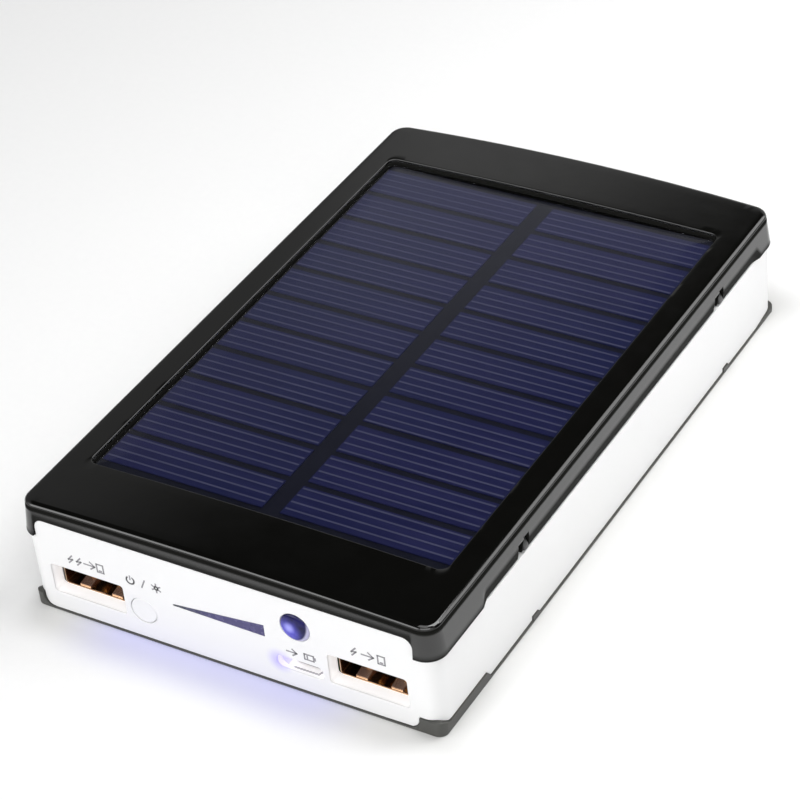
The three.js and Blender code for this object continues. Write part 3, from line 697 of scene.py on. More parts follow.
def lid_section(station):
    """One closed slice through the cover: up its flange, over the fold and crown, down into the window,
    under the ledge and back down inside."""
    lip = lid_lip(station)
    tab = station.on_side and by_latch(station.y, 0, LATCH_TAB)
    points = []

    def outer(inset, z):
        x, y = station.at(inset - FLARE * share(z, EDGE_HEIGHT - FOLD, TOP_LIP))
        points.append((x, y, z + crown(x) * share(z, lip, lip + 1)))

    lean = TAB_RECESS if tab else lid_lean(station, lip)
    outer(lean + LIP_ROUND, lip)
    outer(lean + LIP_ROUND * 0.3, lip + LIP_ROUND * 0.3)
    flange_top = EDGE_HEIGHT - CREASE_UNDER - CREASE_HALF
    for i in range(9):
        z = lip + LIP_ROUND + (flange_top - lip - LIP_ROUND) * i / 8
        outer(TAB_RECESS if tab and z < LATCH_HIGH else lid_lean(station, z), z)
    for rise, depth in ((0.25, 0.8), (0.5, 1.0), (0.85, 0.9)):
        outer(CREASE_DEPTH * depth, flange_top + 2 * CREASE_HALF * rise)
    for c, s in quarter(8):
        outer(FOLD_WIDTH * (1 - c), EDGE_HEIGHT - FOLD * (1 - s))
    start = station.at(FOLD_WIDTH)
    end = station.window(RIM_ROUND)
    for i in range(1, 7):
        x, y = (a + (b - a) * i / 7 for a, b in zip(start, end))
        points.append((x, y, EDGE_HEIGHT + crown(x)))
    top = EDGE_HEIGHT + crown(end[0])
    for c, s in quarter(5):
        points.append((*station.window(RIM_ROUND * (1 - s)), top - RIM_ROUND * (1 - c)))
    tray_low = TRAY_LOW - LEDGE_THICKNESS
    for margin, z in ((0, TRAY_LOW), (-LEDGE, TRAY_LOW), (-LEDGE, tray_low), (SKIN, tray_low),
                      (SKIN, EDGE_HEIGHT - SKIN)):
        points.append((*station.window(margin), z))
    return points + [(*station.at(SKIN), z) for z in (EDGE_HEIGHT - SKIN, lip)]


# height, inset and narrowing of each slice through a latch hook, from its root down
HOOK_SLICES = ((17.7, TAB_RECESS + 0.1, 0), (17.1, 0.7, 0), (16.5, 0.35, 0), (16.0, 0.1, 0),
               (15.6, 0, 0), (15.35, 0, 0.04), (15.15, 0.08, 0.2), (15.0, 0.3, 0.45))


def latch_hook(build, side, latch):
    """The springy hook in a latch's recess: a round-ended bar that leans out and hangs below the lip."""
    thickness = 0.9
    play = 0.12  # between the hook and each end of its recess
    loops = []
    for z, inset, shrink in HOOK_SLICES:
        flat = rounded_loop(HALF_WIDTH - inset - 0.2, latch + LATCH_TAB / 2, thickness - shrink * 0.8,
                            LATCH_TAB - 2 * (play + shrink), 0.18, 3)
        loops.append([(side * u, v, z) for u, v in flat])
    build.solid(loops)


def top_cover():
    jumps = [latch + move for latch in LATCHES for move in (-LATCH_SLOT, 0, LATCH_TAB)]
    bends = [wrap + move for wrap in (WRAP_FRONT, WRAP_REAR) for move in (-1, 0, 1)]
    stations = Outline([LID_END]).whole(jumps, bends)
    build = Build()
    build.ring([lid_section(station) for station in stations])
    build.piece("lid_shell", BLACK, "cover_black", ["top_cover"])
    hooks = Build()
    for side in (-1, 1):
        for latch in LATCHES:
            latch_hook(hooks, side, latch)
    hooks.piece("lid_hooks", HOOK, "cover_black")


# ---- bottom cover


def base_rim(station):
    x, y = station.at(0)
    if not station.on_side and within(x, BASE_END, STEP / 2):
        return end_curve(x, BASE_END, END_LOW, END_HIGH)[0]
    return rim_height(y)


def base_section(station):
    rim = base_rim(station)
    points = []

    def outer(inset, z):
        points.append((*station.at(inset - BASE_OUT), z))

    for c, s in quarter(4):
        outer(BASE_EDGE * (1 - s), BASE_EDGE * (1 - c))
    for inset, drop in ((0, 0.1), (0.03, 0.03), (0.1, 0)):
        outer(inset, rim - drop)
    points.append((*station.at(SKIN), rim))
    points.append((*station.at(SKIN + 0.01), END_LOW - 0.02))
    return points


def bottom_cover():
    bends = [FRONT_RISE, WRAP_FRONT - FRONT_SLOPE, WRAP_FRONT, WRAP_REAR]
    stations = Outline([BASE_END], BASE_CORNER).whole([], bends)
    sections = [base_section(station) for station in stations]
    build = Build()
    build.rows(sections, True, False)
    starts = range(0, len(build.vertices), len(sections[0]))
    build.faces.append(list(starts))
    build.faces.append([start + len(sections[0]) - 1 for start in starts][::-1])
    for side in (-1, 1):
        for latch in LATCHES:
            y0 = latch + BUMP_OFFSET
            y1 = y0 + BUMP_LENGTH
            top = BASE_RIM + BUMP_HEIGHT
            outline = [(y0, 0.2), (y1, 0.2), (y1, BASE_RIM), (y1 - BUMP_HEIGHT, top - 0.08),
                       (y1 - BUMP_HEIGHT - 0.12, top), (y0 + 0.12, top), (y0, top - 0.12)]
            outer = HALF_WIDTH + BASE_OUT
            build.solid([[(side * x, y, z - (shrink if z > BASE_RIM else 0)) for y, z in outline]
                         for x, shrink in ((outer, 0.06), (outer - 0.06, 0), (HALF_WIDTH - SKIN, 0))])
    inner = WALL_INSET + GAP
    build.block((inner - HALF_WIDTH, inner - HALF_LENGTH, 0.2),
                (HALF_WIDTH - inner, HALF_LENGTH - REAR_BULGE - inner, BASE_SKIN))
    build.piece("base_shell", GREY, "base_grey", ["bottom_cover"])


# ---- white frame

UPPER_FACE = (LID_END[0] + GAP, LID_END[1] - GAP)  # how far across the white end face reaches
LOWER_FACE = (BASE_END[0] + GAP, BASE_END[1] - GAP)
PLATE = (-34.0, 32.4)  # the flat part of the front face that holds the ports
FACE_RADIUS = END_RADIUS - GAP
FACE_LOW = END_LOW + GAP * 0.5
FACE_HIGH = END_HIGH - GAP * 0.5
BACK_OF_FACE = -HALF_LENGTH + WALL_INSET
USB_LEFT = middle_of("usb_left_shell")
USB_RIGHT = middle_of("usb_right_shell")
BUTTON = middle_of("button_cap")
USB_CUTOUT = (13.9, 5.75)
USB_Z = 6.75
MICRO_CUTOUT = (8.4, 2.45)
BUTTON_RADIUS = 2.45
TORCH_RADIUS = 2.58
GAUGE_TIP = (-9.8, 9.2)
GAUGE_END = 7.0
GAUGE_LOW = 9.05
GAUGE_HIGH = 11.3
HOLE_LIP = 0.14  # radius of the round edge around each hole
NOTCH = (2.4, 0.4)  # the frame's inner wall is cut away this far around a latch
BOSS_TOP = 9.0
BOSS_BORE = 0.75
BOSS_RADIUS = 2.3
RIB_HALF = 1.4  # half width of the rib that joins a boss to the wall


def gauge_loop(margin):
    x, z = GAUGE_TIP
    return [(x - margin, z - margin), (GAUGE_END + margin, GAUGE_LOW - margin),
            (GAUGE_END + margin, GAUGE_HIGH + margin), (x - margin, z + 0.25 + margin)]


def face_holes(grow):
    """Outlines of the holes in the front face, grown by a margin."""
    holes = []
    for x, z, (width, height), corner in ((USB_LEFT[0], USB_Z, USB_CUTOUT, 0.55),
                                          (USB_RIGHT[0], USB_Z, USB_CUTOUT, 0.55),
                                          (MICRO[0], MICRO[2], MICRO_CUTOUT, 1.0)):
        holes.append(rounded_loop(x, z, width + 2 * grow, height + 2 * grow, corner + grow))
    holes.append(circle_loop(BUTTON[0], BUTTON[2], BUTTON_RADIUS + 0.03 + grow * 0.5))
    holes.append(circle_loop(TORCH[0], TORCH_Z, TORCH_RADIUS + 0.06 + grow))
    holes.append(gauge_loop(0.03 + grow))
    return holes


def plate_cap(build, outer, holes, y):
    flat = [outer] + holes
    polygons = [[Vector((x, z, 0)) for x, z in loop] for loop in flat]
    points = [point for loop in flat for point in upright(loop, y)]
    build.add(points, [list(t) for t in tessellate_polygon(polygons)])


def face_edges(x):
    """Lower and upper edge of the white end face at x, or beyond it of the band between the wraps."""
    low = BASE_WRAP + 0.1
    high = TOP_LIP - GAP * 0.5
    if within(x, LOWER_FACE, STEP):
        low = end_curve(x, LOWER_FACE, FACE_LOW, FACE_HIGH, FACE_RADIUS)[0]
    if within(x, UPPER_FACE, STEP):
        high = end_curve(x, UPPER_FACE, FACE_LOW, FACE_HIGH, FACE_RADIUS)[1]
    return low, high


def front_plate(build):
    left, right = PLATE
    across = [left, left + 0.3, left + 0.8] + [left + 2 + (right - left - 2) * i / 12 for i in range(13)]
    outer = [(x, face_edges(x)[0]) for x in across] + [(x, face_edges(x)[1]) for x in across[::-1]]
    plate_cap(build, outer, face_holes(HOLE_LIP), FACE)
    plate_cap(build, outer, face_holes(0), BACK_OF_FACE)
    build.tube([upright(outer, y) for y in (FACE, BACK_OF_FACE)])
    levels = [(face_holes(HOLE_LIP * (1 - s)), FACE + HOLE_LIP * (1 - c)) for c, s in quarter(4)]
    levels.append((face_holes(0), BACK_OF_FACE))
    for index in range(len(levels[0][0])):
        build.tube([upright(holes[index], y) for holes, y in levels])


def frame_edges(station):
    """Lower and upper edge of the white wall at a station."""
    x, y = station.at(FACE_INSET)
    high = TOP_LIP - GAP * 0.5
    if station.on_side:
        for latch in LATCHES:
            start = latch + BUMP_OFFSET
            if start - 0.1 < y < start + BUMP_LENGTH + 0.1:
                slope = max(0.0, y - (start + BUMP_LENGTH - BUMP_HEIGHT))
                return BASE_RIM + BUMP_HEIGHT + 0.1 - slope, high
        return rim_height(y) + 0.1, high
    low, high = face_edges(x)
    return (low if within(x, LOWER_FACE, STEP) else rim_height(y) + 0.1), high


def frame_section(station):
    low, high = frame_edges(station)
    round_off = 0.12
    core_high = CORE_HIGH
    if station.on_side and by_latch(station.y, *NOTCH):
        core_high = high + 0.02
    slice_ = [
        (FACE_INSET + round_off, low), (FACE_INSET + 0.03, low + 0.04), (FACE_INSET, low + round_off),
        (FACE_INSET, low + 0.35 * (high - low)), (FACE_INSET, low + 0.65 * (high - low)),
        (FACE_INSET, high - round_off), (FACE_INSET + 0.03, high - 0.04), (FACE_INSET + round_off, high),
        (CORE_INSET, high), (CORE_INSET, core_high), (WALL_INSET, core_high), (WALL_INSET, CORE_LOW),
        (CORE_INSET, CORE_LOW), (CORE_INSET, max(low, CORE_LOW + 0.01)),
    ]
    return [(*station.at(inset), z) for inset, z in slice_]


def middle_frame():
    bends = [WRAP_FRONT - FRONT_SLOPE, WRAP_FRONT, WRAP_REAR]
    ends = [(left + GAP, right - GAP) for left, right in (LID_END, BASE_END)]
    jumps = []
    for latch in LATCHES:
        start = latch + BUMP_OFFSET
        jumps += [start - 0.1, start + BUMP_LENGTH + 0.1, latch - NOTCH[0], latch + NOTCH[1]]
        bends.append(start + BUMP_LENGTH - BUMP_HEIGHT)
    whole = Outline(ends).whole(jumps, bends)
    ring = [s for s in whole if s.rear or s.on_side or not within(s.at(FACE_INSET)[0], PLATE, 0.02)]
    first = next(i for i, s in enumerate(ring) if s.at(0)[0] > 0 and not s.rear)
    edge_y = CORNER - HALF_LENGTH
    ring = ([Station(PLATE[1], edge_y, -pi / 2)] + ring[first:] + ring[:first]
            + [Station(PLATE[0], edge_y, -pi / 2)])
    build = Build()
    build.solid([frame_section(station) for station in ring])
    front_plate(build)
    build.block((PLATE[0], -HALF_LENGTH + CORE_INSET, FACE_HIGH - 0.1), (PLATE[1], BACK_OF_FACE, CORE_HIGH))
    foot = node_box("main_board")[1][2] + 0.1
    for screw in ("board_screw_left", "board_screw_right"):
        x, y, _ = middle_of(screw)
        corners = ((BOSS_RADIUS, foot), (BOSS_RADIUS, BOSS_TOP), (BOSS_BORE, BOSS_TOP), (BOSS_BORE, foot))
        build.ring([[(u, v, z) for u, v in circle_loop(x, y, radius, 24)] for radius, z in corners])
        wall = copysign(HALF_WIDTH - WALL_INSET + 0.5, x)
        near = copysign(abs(x) + BOSS_RADIUS - 0.1, x)
        build.block((min(near, wall), y - RIB_HALF, foot), (max(near, wall), y + RIB_HALF, BOSS_TOP))
    build.piece("frame_shell", WHITE, "frame_white", ["middle_frame"])


# ---- solar panel

RESIN_DROP = 0.30  # how far the poured resin falls at its edge
RESIN_FALL = 4.5  # width of the band where it falls


def resin_height(x, y):
    """The poured resin is flat in the middle and falls in a soft curve towards its edges."""
    edge_x = RESIN_HIGH[0] - abs(x)
    edge_y = min(RESIN_HIGH[1] - y, y - RESIN_LOW[1])
    fall = 1.0
    for edge in (edge_x, edge_y):
        fall *= 1 - (1 - share(edge, 0, RESIN_FALL)) ** 3
    return RESIN_HIGH[2] - RESIN_DROP * (1 - fall)


def panel_resin():
    """Rings from the outline in to the middle, over a flat underside."""
    insets = [0, 0.006, 0.015, 0.03, 0.05, 0.075, 0.105, 0.14, 0.19, 0.26, 0.4, 0.6, 0.8]
    centre_y = (RESIN_LOW[1] + RESIN_HIGH[1]) / 2
    half_x = RESIN_HIGH[0]
    half_y = (RESIN_HIGH[1] - RESIN_LOW[1]) / 2
    steps = 26

    def ring(inset):
        width = 2 * (half_x - inset)
        length = 2 * (half_y - inset)
        radius = max(WINDOW_RADIUS - 0.4 - inset, 0.15)
        corners = rounded_loop(0, centre_y, width, length, radius, 5)
        points = []
        for i, point in enumerate(corners):
            points.append(point)
            if i % 6 == 5:
                after = corners[(i + 1) % len(corners)]
                for k in range(1, steps):
                    points.append(tuple(a + (b - a) * k / steps for a, b in zip(point, after)))
        return points

    build = Build()
    loops = [[(x, y, RESIN_LOW[2] + 0.01) for x, y in ring(0)]]
    for inset in insets:
        loops.append([(x, y, resin_height(x, y)) for x, y in ring(inset * half_x)])
    build.solid(loops)
    build.piece("resin_cover", RESIN, "panel_resin", ["panel_resin"], sharp=60)


FINGERS = 4
FINGER_WIDTH = 0.36
FINGER_PITCH = 1.745
STRIP_SHIFTS = (0.4, 0.2, -0.4, -0.6, 0.3, 0, 0, -0.5, -0.5, -0.6, -0.2)


def cell_fingers():
    """Four silver lines printed along each strip. Each strip was cut from its wafer a little differently,
    so the lines' place across it varies from strip to strip."""
    build = Build()
    for side in ("left", "right"):
        for row in range(1, 12):
            low, high = node_box(f"cell_{side}_{row:02d}")
            middle = (low[1] + high[1]) / 2 + STRIP_SHIFTS[row - 1]
            for finger in range(FINGERS):
                y = middle + (finger - (FINGERS - 1) / 2) * FINGER_PITCH
                build.block((low[0] + 0.2, y - FINGER_WIDTH / 2, high[2] - 0.005),
                            (high[0] - 0.2, y + FINGER_WIDTH / 2, high[2] + 0.02))
    build.piece("cell_fingers", FINGER, "nickel")


# ---- sockets


def ribbon(build, path, x0, x1, thickness):
    """A strip of sheet between x0 and x1 that follows a path of (y, z)."""
    half = thickness / 2
    loops = []
    for i, (y, z) in enumerate(path):
        y_before, z_before = path[max(i - 1, 0)]
        y_after, z_after = path[min(i + 1, len(path) - 1)]
        along = Vector((y_after - y_before, z_after - z_before)).normalized()
        ny, nz = -along.y * half, along.x * half
        loops.append([(x, y + way * ny, z + way * nz) for x, way in ((x0, 1), (x1, 1), (x1, -1), (x0, -1))])
    build.solid(loops)


def smooth_path(points, per_span=6):
    """Catmull-Rom through (y, z) points."""
    ends = [points[0]] + list(points) + [points[-1]]
    path = []
    for a, b, c, d in zip(ends, ends[1:], ends[2:], ends[3:]):
        for i in range(per_span):
            t = i / per_span
            path.append(tuple(0.5 * (2 * q + (r - p) * t + (2 * p - 5 * q + 4 * r - s) * t * t
                                     + (3 * q - p - 3 * r + s) * t ** 3) for p, q, r, s in zip(a, b, c, d)))
    path.append(points[-1])
    return path


SHEET = 0.3  # the USB shell's
SPRING_SHEET = 0.22
CONTACT_SHEET = 0.16
BLADE = (11.2, 1.85)  # width and thickness of a USB tongue
LEG_X = 5.9
LEG_BACKS = (3, 9)
LEG = (0.7, 1.2)
SPRINGS = (-2.9, 3.3)
CONTACTS = (-3.5, -1.0, 1.0, 3.5)
# the springs' half width, and their course: how far behind the mouth, how far from the wall
UPPER_SPRING = (1.15, ((0.35, 0.12), (1.4, 0.35), (2.9, 0.95), (3.8, 0.75), (6.5, 0.1)))
LOWER_SPRING = (1.0, ((0.35, 0.12), (1.4, 0.25), (3.1, 0.62), (4.0, 0.5), (6.5, 0.1)))


def usb_socket(side):
    (left, front, _), (right, rear, top) = node_box(f"usb_{side}_shell")
    x = (left + right) / 2
    width = right - left
    height = 2 * (top - USB_Z)
    board_top = node_box("main_board")[1][2]
    build = Build()
    loops = []
    for inset, y in ((0, rear), (0, front + 0.25), (0.06, front + 0.06), (0.15, front), (0.24, front + 0.06),
                     (SHEET, front + 0.25), (SHEET, rear - SHEET)):
        flat = rounded_loop(x, USB_Z, width - 2 * inset, height - 2 * inset, max(0.6 - inset, 0.2), 5)
        loops.append(upright(flat, y))
    build.solid(loops)
    for leg in (x - LEG_X, x + LEG_X):
        for back in LEG_BACKS:
            build.soft_block((leg - LEG[0] / 2, front + back, board_top + 0.05),
                             (leg + LEG[0] / 2, front + back + LEG[1], USB_Z - height / 2 + 0.1), 0.15)
    build.piece(f"usb_{side}_can", STEEL, "steel", [f"usb_{side}_shell"])

    springs = Build()
    ceiling = top - SHEET
    floor = 2 * USB_Z - ceiling
    for middle in SPRINGS:
        for wall, way, (half, course) in ((ceiling, -1, UPPER_SPRING), (floor, 1, LOWER_SPRING)):
            path = smooth_path([(front + y, wall + way * z) for y, z in course])
            ribbon(springs, path, x + middle - half, x + middle + half, SPRING_SHEET)
    springs.piece(f"usb_{side}_springs", SPRING, "steel")

    tongue_low, tongue_high = node_box(f"usb_{side}_tongue")
    half = BLADE[0] / 2
    tongue = Build()
    tongue.soft_block((x - half, tongue_low[1], USB_Z),
                      (x + half, tongue_high[1] - 1, USB_Z + BLADE[1]), 0.4)
    tongue.soft_block((tongue_low[0], tongue_high[1] - 2.5, tongue_low[2]), tongue_high, 0.3)
    tongue.piece(f"usb_{side}_insert", NYLON, "black_nylon", [f"usb_{side}_tongue"])

    contacts = Build()
    for middle in CONTACTS:
        path = smooth_path([(tongue_low[1] + 0.5, USB_Z - 0.04), (tongue_low[1] + 1.6, USB_Z - 0.35),
                            (tongue_low[1] + 3.2, USB_Z - 0.2), (tongue_high[1] - 2.6, USB_Z - 0.08)])
        ribbon(contacts, path, x + middle - 0.5, x + middle + 0.5, CONTACT_SHEET)
    contacts.piece(f"usb_{side}_contacts", GOLD, "contact_gold")


MICRO_SHELL = (7.9, 2.45)
MICRO_SHEET = 0.25
MICRO_BEVEL = 1.1
MICRO_PITCH = 0.65


def micro_loop(inset):
    x, _, z = MICRO
    half = MICRO_SHELL[0] / 2 - inset
    low = z - MICRO_SHELL[1] / 2 + inset
    high = z + MICRO_SHELL[1] / 2 - inset
    bevel = MICRO_BEVEL - 0.3 * inset
    right = [(half - bevel, low), (half, low + bevel), (half, high - 0.25), (half - 0.25, high)]
    return [(x + u, v) for u, v in right] + [(x - u, v) for u, v in right[::-1]]


def micro_socket():
    low, high = node_box("micro_usb_shell")
    build = Build()
    build.solid([upright(micro_loop(inset), y) for inset, y in (
        (0, high[1]), (0, low[1] + 0.12), (0.12, low[1]), (MICRO_SHEET, low[1] + 0.12),
        (MICRO_SHEET, high[1] - MICRO_SHEET))])
    build.piece("micro_usb_can", TIN, "steel", ["micro_usb_shell"])
    low, high = node_box("micro_usb_tongue")
    x, _, z = MICRO
    tongue = Build()
    tongue.soft_block((x - 1.9, low[1], z), (x + 1.9, high[1] - 0.6, z + 0.6), 0.2)
    tongue.soft_block((low[0], high[1] - 1.2, low[2]), high, 0.2)
    tongue.piece("micro_usb_insert", NYLON, "black_nylon", ["micro_usb_tongue"])
    contacts = Build()
    for i in range(5):
        middle = x + (i - 2) * MICRO_PITCH
        contacts.block((middle - 0.16, low[1] + 0.25, z - 0.06), (middle + 0.16, high[1] - 1.2, z + 0.02))
    contacts.piece("micro_usb_contacts", GOLD, "contact_gold")


# ---- button, gauge and torch


def button_cap():
    low, high = node_box("button_cap")
    front, back = low[1], high[1]
    flange = back - 0.7
    radius = BUTTON_RADIUS - 0.05
    edge = 0.25
    profile = [(0.4, front + 0.10), (1.2, front + 0.085), (1.8, front + 0.04), (2.1, front + 0.01)]
    profile += [(radius - edge * (1 - s), front + edge * (1 - c)) for c, s in quarter(5)]
    profile += [(radius, flange), (radius + 0.9, flange), (radius + 1, flange + 0.1), (radius + 1, back)]
    build = Build()
    turned(build, profile, BUTTON[0], BUTTON[2])
    build.piece("button_dish", WHITE, "frame_white", ["button_cap"], body="button")


def gauge():
    low, high = node_box("gauge_guide")
    build = Build()
    build.solid([upright(gauge_loop(margin), y) for margin, y in (
        (-0.05, low[1] + 0.02), (0, low[1] + 0.08), (0, high[1] - 0.9))])
    build.soft_block((low[0] + 0.3, BACK_OF_FACE + 0.2, low[2]), (high[0] - 0.2, high[1], high[2]), 0.3)
    build.piece("gauge_light_guide", WINDOW, "guide_blue", ["gauge_guide"])


def torch():
    """A domed lamp of tinted resin with its cup, chip and leads cast inside."""
    low, high = node_box("torch_lamp")
    x = TORCH[0]
    tip = low[1] - 0.3
    rim = BACK_OF_FACE + 5.6
    radius = TORCH_RADIUS
    build = Build()
    profile = [(radius * s, tip + 0.8 * (1 - c)) for c, s in quarter(12)[1:]]
    profile += [(radius, rim), (radius + 0.4, rim + 0.02), (radius + 0.4, rim + 1)]
    turned(build, profile, x, TORCH_Z)
    build.piece("torch_lens", LENS, "lens_blue", ["torch_lamp"], sharp=50)

    core = Build()
    cup = ((0.35, 3.4), (0.75, 2.6), (1.0, 2.55), (0.95, 3.3), (0.5, 4.4))
    turned(core, [(r, tip + back) for r, back in cup], x, TORCH_Z, 32)
    for side in (-1, 1):
        lead = x + 1.27 * side
        for start, foot in ((tip + 3.6, TORCH_Z - 0.25), (high[1] - 0.5, low[2])):
            core.soft_block((lead - 0.25, start, foot), (lead + 0.25, high[1], TORCH_Z + 0.25), 0.08)
    core.soft_block((x - 1.6, tip + 3.5, TORCH_Z - 0.9), (x + 1.4, tip + 4.3, TORCH_Z + 0.9), 0.2)
    core.piece("torch_leadframe", NICKEL, "nickel")


# ---- printed symbols

STROKE = 0.27
PRINT_FRONT = FACE - 0.012


RAYS = [[(0.5 + reach * cos(t), 0.5 + reach * sin(t)) for reach in (0.36, 0.55)]
        for t in (radians(60 * i + 30) for i in range(6))]

# each symbol's width and its lines, where its height is 1
ARROW = (1.3, [[(0, 0.5), (1.3, 0.5)], [(0.75, 0.05), (1.3, 0.5), (0.75, 0.95)]])
BOLT = (0.75, [[(0.6, 1.0), (0.1, 0.42), (0.65, 0.55), (0.15, 0.0)]])
HANDSET = (0.75, [[(0, 0), (0.75, 0), (0.75, 1), (0, 1), (0, 0)], [(0.25, 0.2), (0.5, 0.2)]])
CELL = (1.35, [[(0, 0.12), (1.15, 0.12), (1.15, 0.88), (0, 0.88), (0, 0.12)], [(1.35, 0.35), (1.35, 0.65)],
               [(0.35, 0.3), (0.35, 0.7)]])
POWER = (1.0, [arc(0.5, 0.45, 0.45, 125, 415), [(0.5, 0.55), (0.5, 1.0)]])
TORCH_LAMP = (1.0, [arc(0.5, 0.5, 0.2, 0, 360)] + RAYS)
BAR = (0.45, [[(0.0, 0.0), (0.45, 1.0)]])


def print_symbols(name, symbols, x0, x1, low, height):
    """A row of pictograms between x0 and x1, each stroke a thin raised print."""
    used = sum(width for width, _ in symbols) * height
    gap = (x1 - x0 - used) / (len(symbols) - 1)
    build = Build()
    x = x0
    for width, lines in symbols:
        for line in lines:
            points = [Vector((x + u * height, low + v * height)) for u, v in line]
            for a, b in zip(points, points[1:]):
                along = (b - a).normalized() * STROKE / 2
                across = Vector((-along.y, along.x))
                start, end = a - along * 0.8, b + along * 0.8
                flat = [start - across, end - across, end + across, start + across]
                build.solid([upright(flat, y) for y in (PRINT_FRONT, FACE + 0.01)])
        x += width * height + gap
    build.piece(name, PRINT, "print_grey")


# ---- materials of the pieces kept from the frame

KEPT = (
    (BACKING, ["panel_board"]),
    (FOIL, ["battery_lower", "battery_upper"]),
    (FOAM, ["battery_pad"]),
    (NICKEL, ["cell_strap_left", "cell_strap_right", "board_screw_left", "board_screw_right"]),
    (NICKEL, ["output_capacitor"]),
    (BOARD, ["main_board"]),
    (NYLON, ["switch_base", "switch_plunger"]),
    (FERRITE, ["boost_inductor"]),
    (CHIP, ["boost_chip", "control_chip", "solar_diode"]),
    (RED_WIRE, ["battery_lead_plus", "solar_lead_plus"]),
    (BLACK_WIRE, ["battery_lead_minus", "solar_lead_minus"]),
    (LAMP, [f"gauge_lamp_{number}" for number in range(1, 5)]),
    (SILICON, [f"cell_{side}_{number:02d}" for side in ("left", "right") for number in range(1, 12)]),
)


def finish_kept_nodes():
    for material, nodes in KEPT:
        for node in nodes:
            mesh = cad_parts[node].data
            mesh.materials.clear()
            mesh.materials.append(material)


# ---- floor, camera and light

CAMERA_AZIMUTH = 33.906
CAMERA_ELEVATION = 36.961
CAMERA_ROLL = -6.416
CAMERA_DISTANCE = 476.9
CAMERA_AIM = (-5.36, 1.90, 6.84)
CAMERA_LENS = 126.71


def direction(azimuth, elevation):
    """Azimuth 0 looks from the ports' side (-Y) and grows towards +X."""
    a, e = radians(azimuth), radians(elevation)
    return Vector((sin(a) * cos(e), -cos(a) * cos(e), sin(e)))


def add_camera():
    back = direction(CAMERA_AZIMUTH, CAMERA_ELEVATION)
    level = Vector((0, 0, 1)).cross(back).normalized()
    upright = back.cross(level)
    roll = radians(CAMERA_ROLL)
    right = level * cos(roll) + upright * sin(roll)
    up = upright * cos(roll) - level * sin(roll)
    place = (Vector(CAMERA_AIM) + back * CAMERA_DISTANCE) * MM
    data = bpy.data.cameras.new("camera")
    data.lens = CAMERA_LENS
    data.sensor_width = 36
    data.clip_start = 0.01
    camera = new_object("camera", data)
    turn = Matrix((right, up, back)).transposed()
    camera.matrix_world = Matrix.Translation(place) @ turn.to_4x4()
    bpy.context.scene.camera = camera


def add_softbox(name, azimuth, elevation, distance, size, radiance, colour=(1, 1, 1), aim=(0, 0, 10)):
    """A rectangular softbox that faces aim. Its power follows from how bright its face is."""
    data = bpy.data.lights.new(name, "AREA")
    data.shape = "RECTANGLE"
    data.size, data.size_y = (s * MM for s in size)
    data.energy = radiance * pi * data.size * data.size_y
    data.color = colour
    lamp = new_object(name, data)
    away = direction(azimuth, elevation)
    lamp.location = (Vector(aim) + away * distance) * MM
    lamp.rotation_euler = away.to_track_quat("Z", "Y").to_euler()


def add_floor():
    """White paper, with a painted shadow of the charger close to it and the indicator's violet light painted
    before it.
    """
    paint = Paint("paper_floor")
    paper = paint.blend(paint.drift(1.5, 4), (0.925, 0.925, 0.925), (0.935, 0.935, 0.933))
    x, y, z = paint.place()
    # painted shadow of the charger on the paper close to it, and a painted pool of the indicator's violet
    # light before it
    contact = paint.times(paint.band(y, -70, -60.5, 60, 70), paint.band(x, -41, -34, 37, 48))
    painted_violet_light = paint.times(paint.band(y, -72.5, -60, -56, -52), paint.band(x, -33, -19, 12, 28))
    shaded = paint.blend(contact, paper, (0.69, 0.69, 0.68))
    material = paint.set(colour=paint.blend(painted_violet_light, shaded, (0.67, 0.67, 0.92)), roughness=0.6, specular=0.2)
    mesh = bpy.data.meshes.new("floor")
    work = bmesh.new()
    bmesh.ops.create_grid(work, x_segments=8, y_segments=8, size=3.0)
    work.to_mesh(mesh)
    work.free()
    mesh.materials.append(material)
    floor = new_object("floor", mesh)


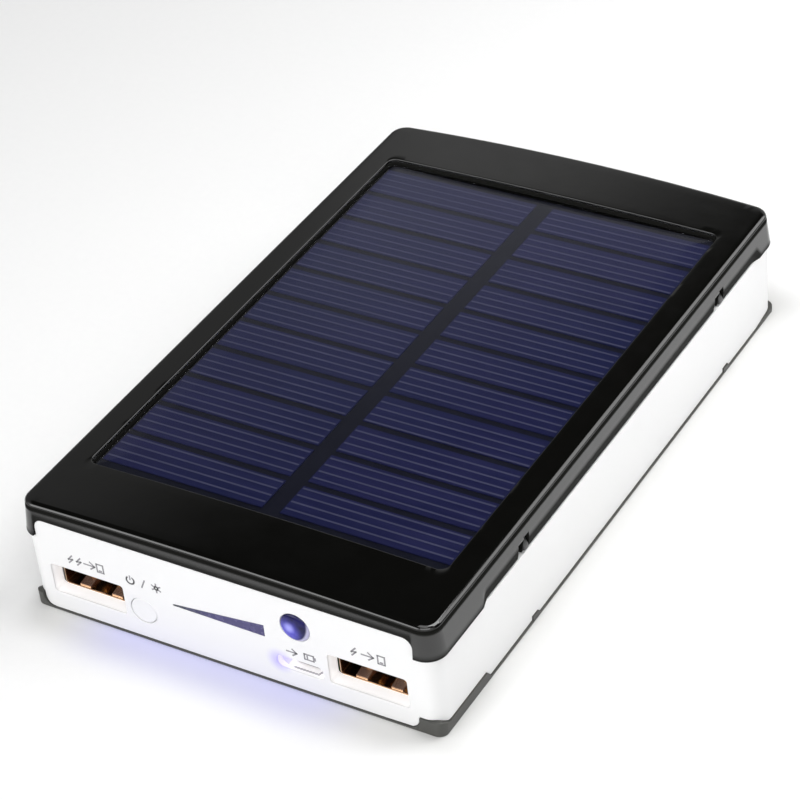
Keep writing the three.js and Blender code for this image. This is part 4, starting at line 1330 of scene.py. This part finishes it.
def add_world():
    """A dim room with a light backdrop behind the charger and a bright one behind the camera."""
    world = bpy.data.worlds.new("studio")
    world.use_nodes = True
    room = Nodes(world.node_tree)
    x, y, z = room.split(room.texture_place("Generated"))
    turn = room.calc("MULTIPLY", room.calc("ARCTAN2", y, x), degrees(1))
    rise = room.calc("MULTIPLY", room.calc("ARCSINE", z), degrees(1))
    slant = 0.22  # the upper edge of the backdrop behind the charger climbs towards the left
    dim = 0.022
    edge = room.calc("SUBTRACT", rise, room.times(turn, slant))
    behind = room.times(room.ramp(edge, 5.1, 11.4, 0.42, 0), room.ramp(turn, 60, 80),
                        room.ramp(turn, 123, 129, 1, 0.45))
    before = room.times(room.ramp(y, 0.1, -0.4, 0, 1.1), room.band(z, 0.05, 0.25, 0.62, 0.8))
    back = room.new("Background")
    back.inputs["Color"].default_value = (1, 1, 1, 1)
    room.feed(back.inputs["Strength"], room.plus(room.plus(behind, before), dim))
    room.feed(room.new("OutputWorld").inputs["Surface"], back.outputs[0])
    bpy.context.scene.world = world


def add_lights():
    add_softbox("left_softbox", -32, 30, 650, (480, 340), 2.1)
    add_softbox("right_softbox", 144, 32, 650, (420, 420), 2.5)
    add_softbox("fill_softbox", 30, 45, 900, (700, 500), 1.9)
    add_softbox("top_softbox", 0, 88, 900, (500, 500), 1.8)
    add_softbox("table_softbox", 90, 88, 260, (160, 160), 5.0, aim=(110, 60, 0))


# ---- the whole

top_cover()
bottom_cover()
middle_frame()
panel_resin()
cell_fingers()
for side in ("left", "right"):
    usb_socket(side)
micro_socket()
button_cap()
gauge()
torch()
# the left and right ends of each row of symbols, its foot and its height
print_symbols("print_output_left", [BOLT, BOLT, ARROW, HANDSET], -29.5, -22.6, 11.2, 1.6)
print_symbols("print_output_right", [BOLT, ARROW, HANDSET], 22.6, 28.6, 11.3, 1.6)
print_symbols("print_input", [ARROW, CELL], 10.8, 15.9, 6.95, 1.4)
print_symbols("print_switch", [POWER, BAR, TORCH_LAMP], -18.3, -11.8, 10.95, 1.6)
finish_kept_nodes()
add_floor()
add_camera()
add_lights()
add_world()
bpy.context.scene.view_settings.view_transform = "Standard"

bpy.context.view_layer.update()
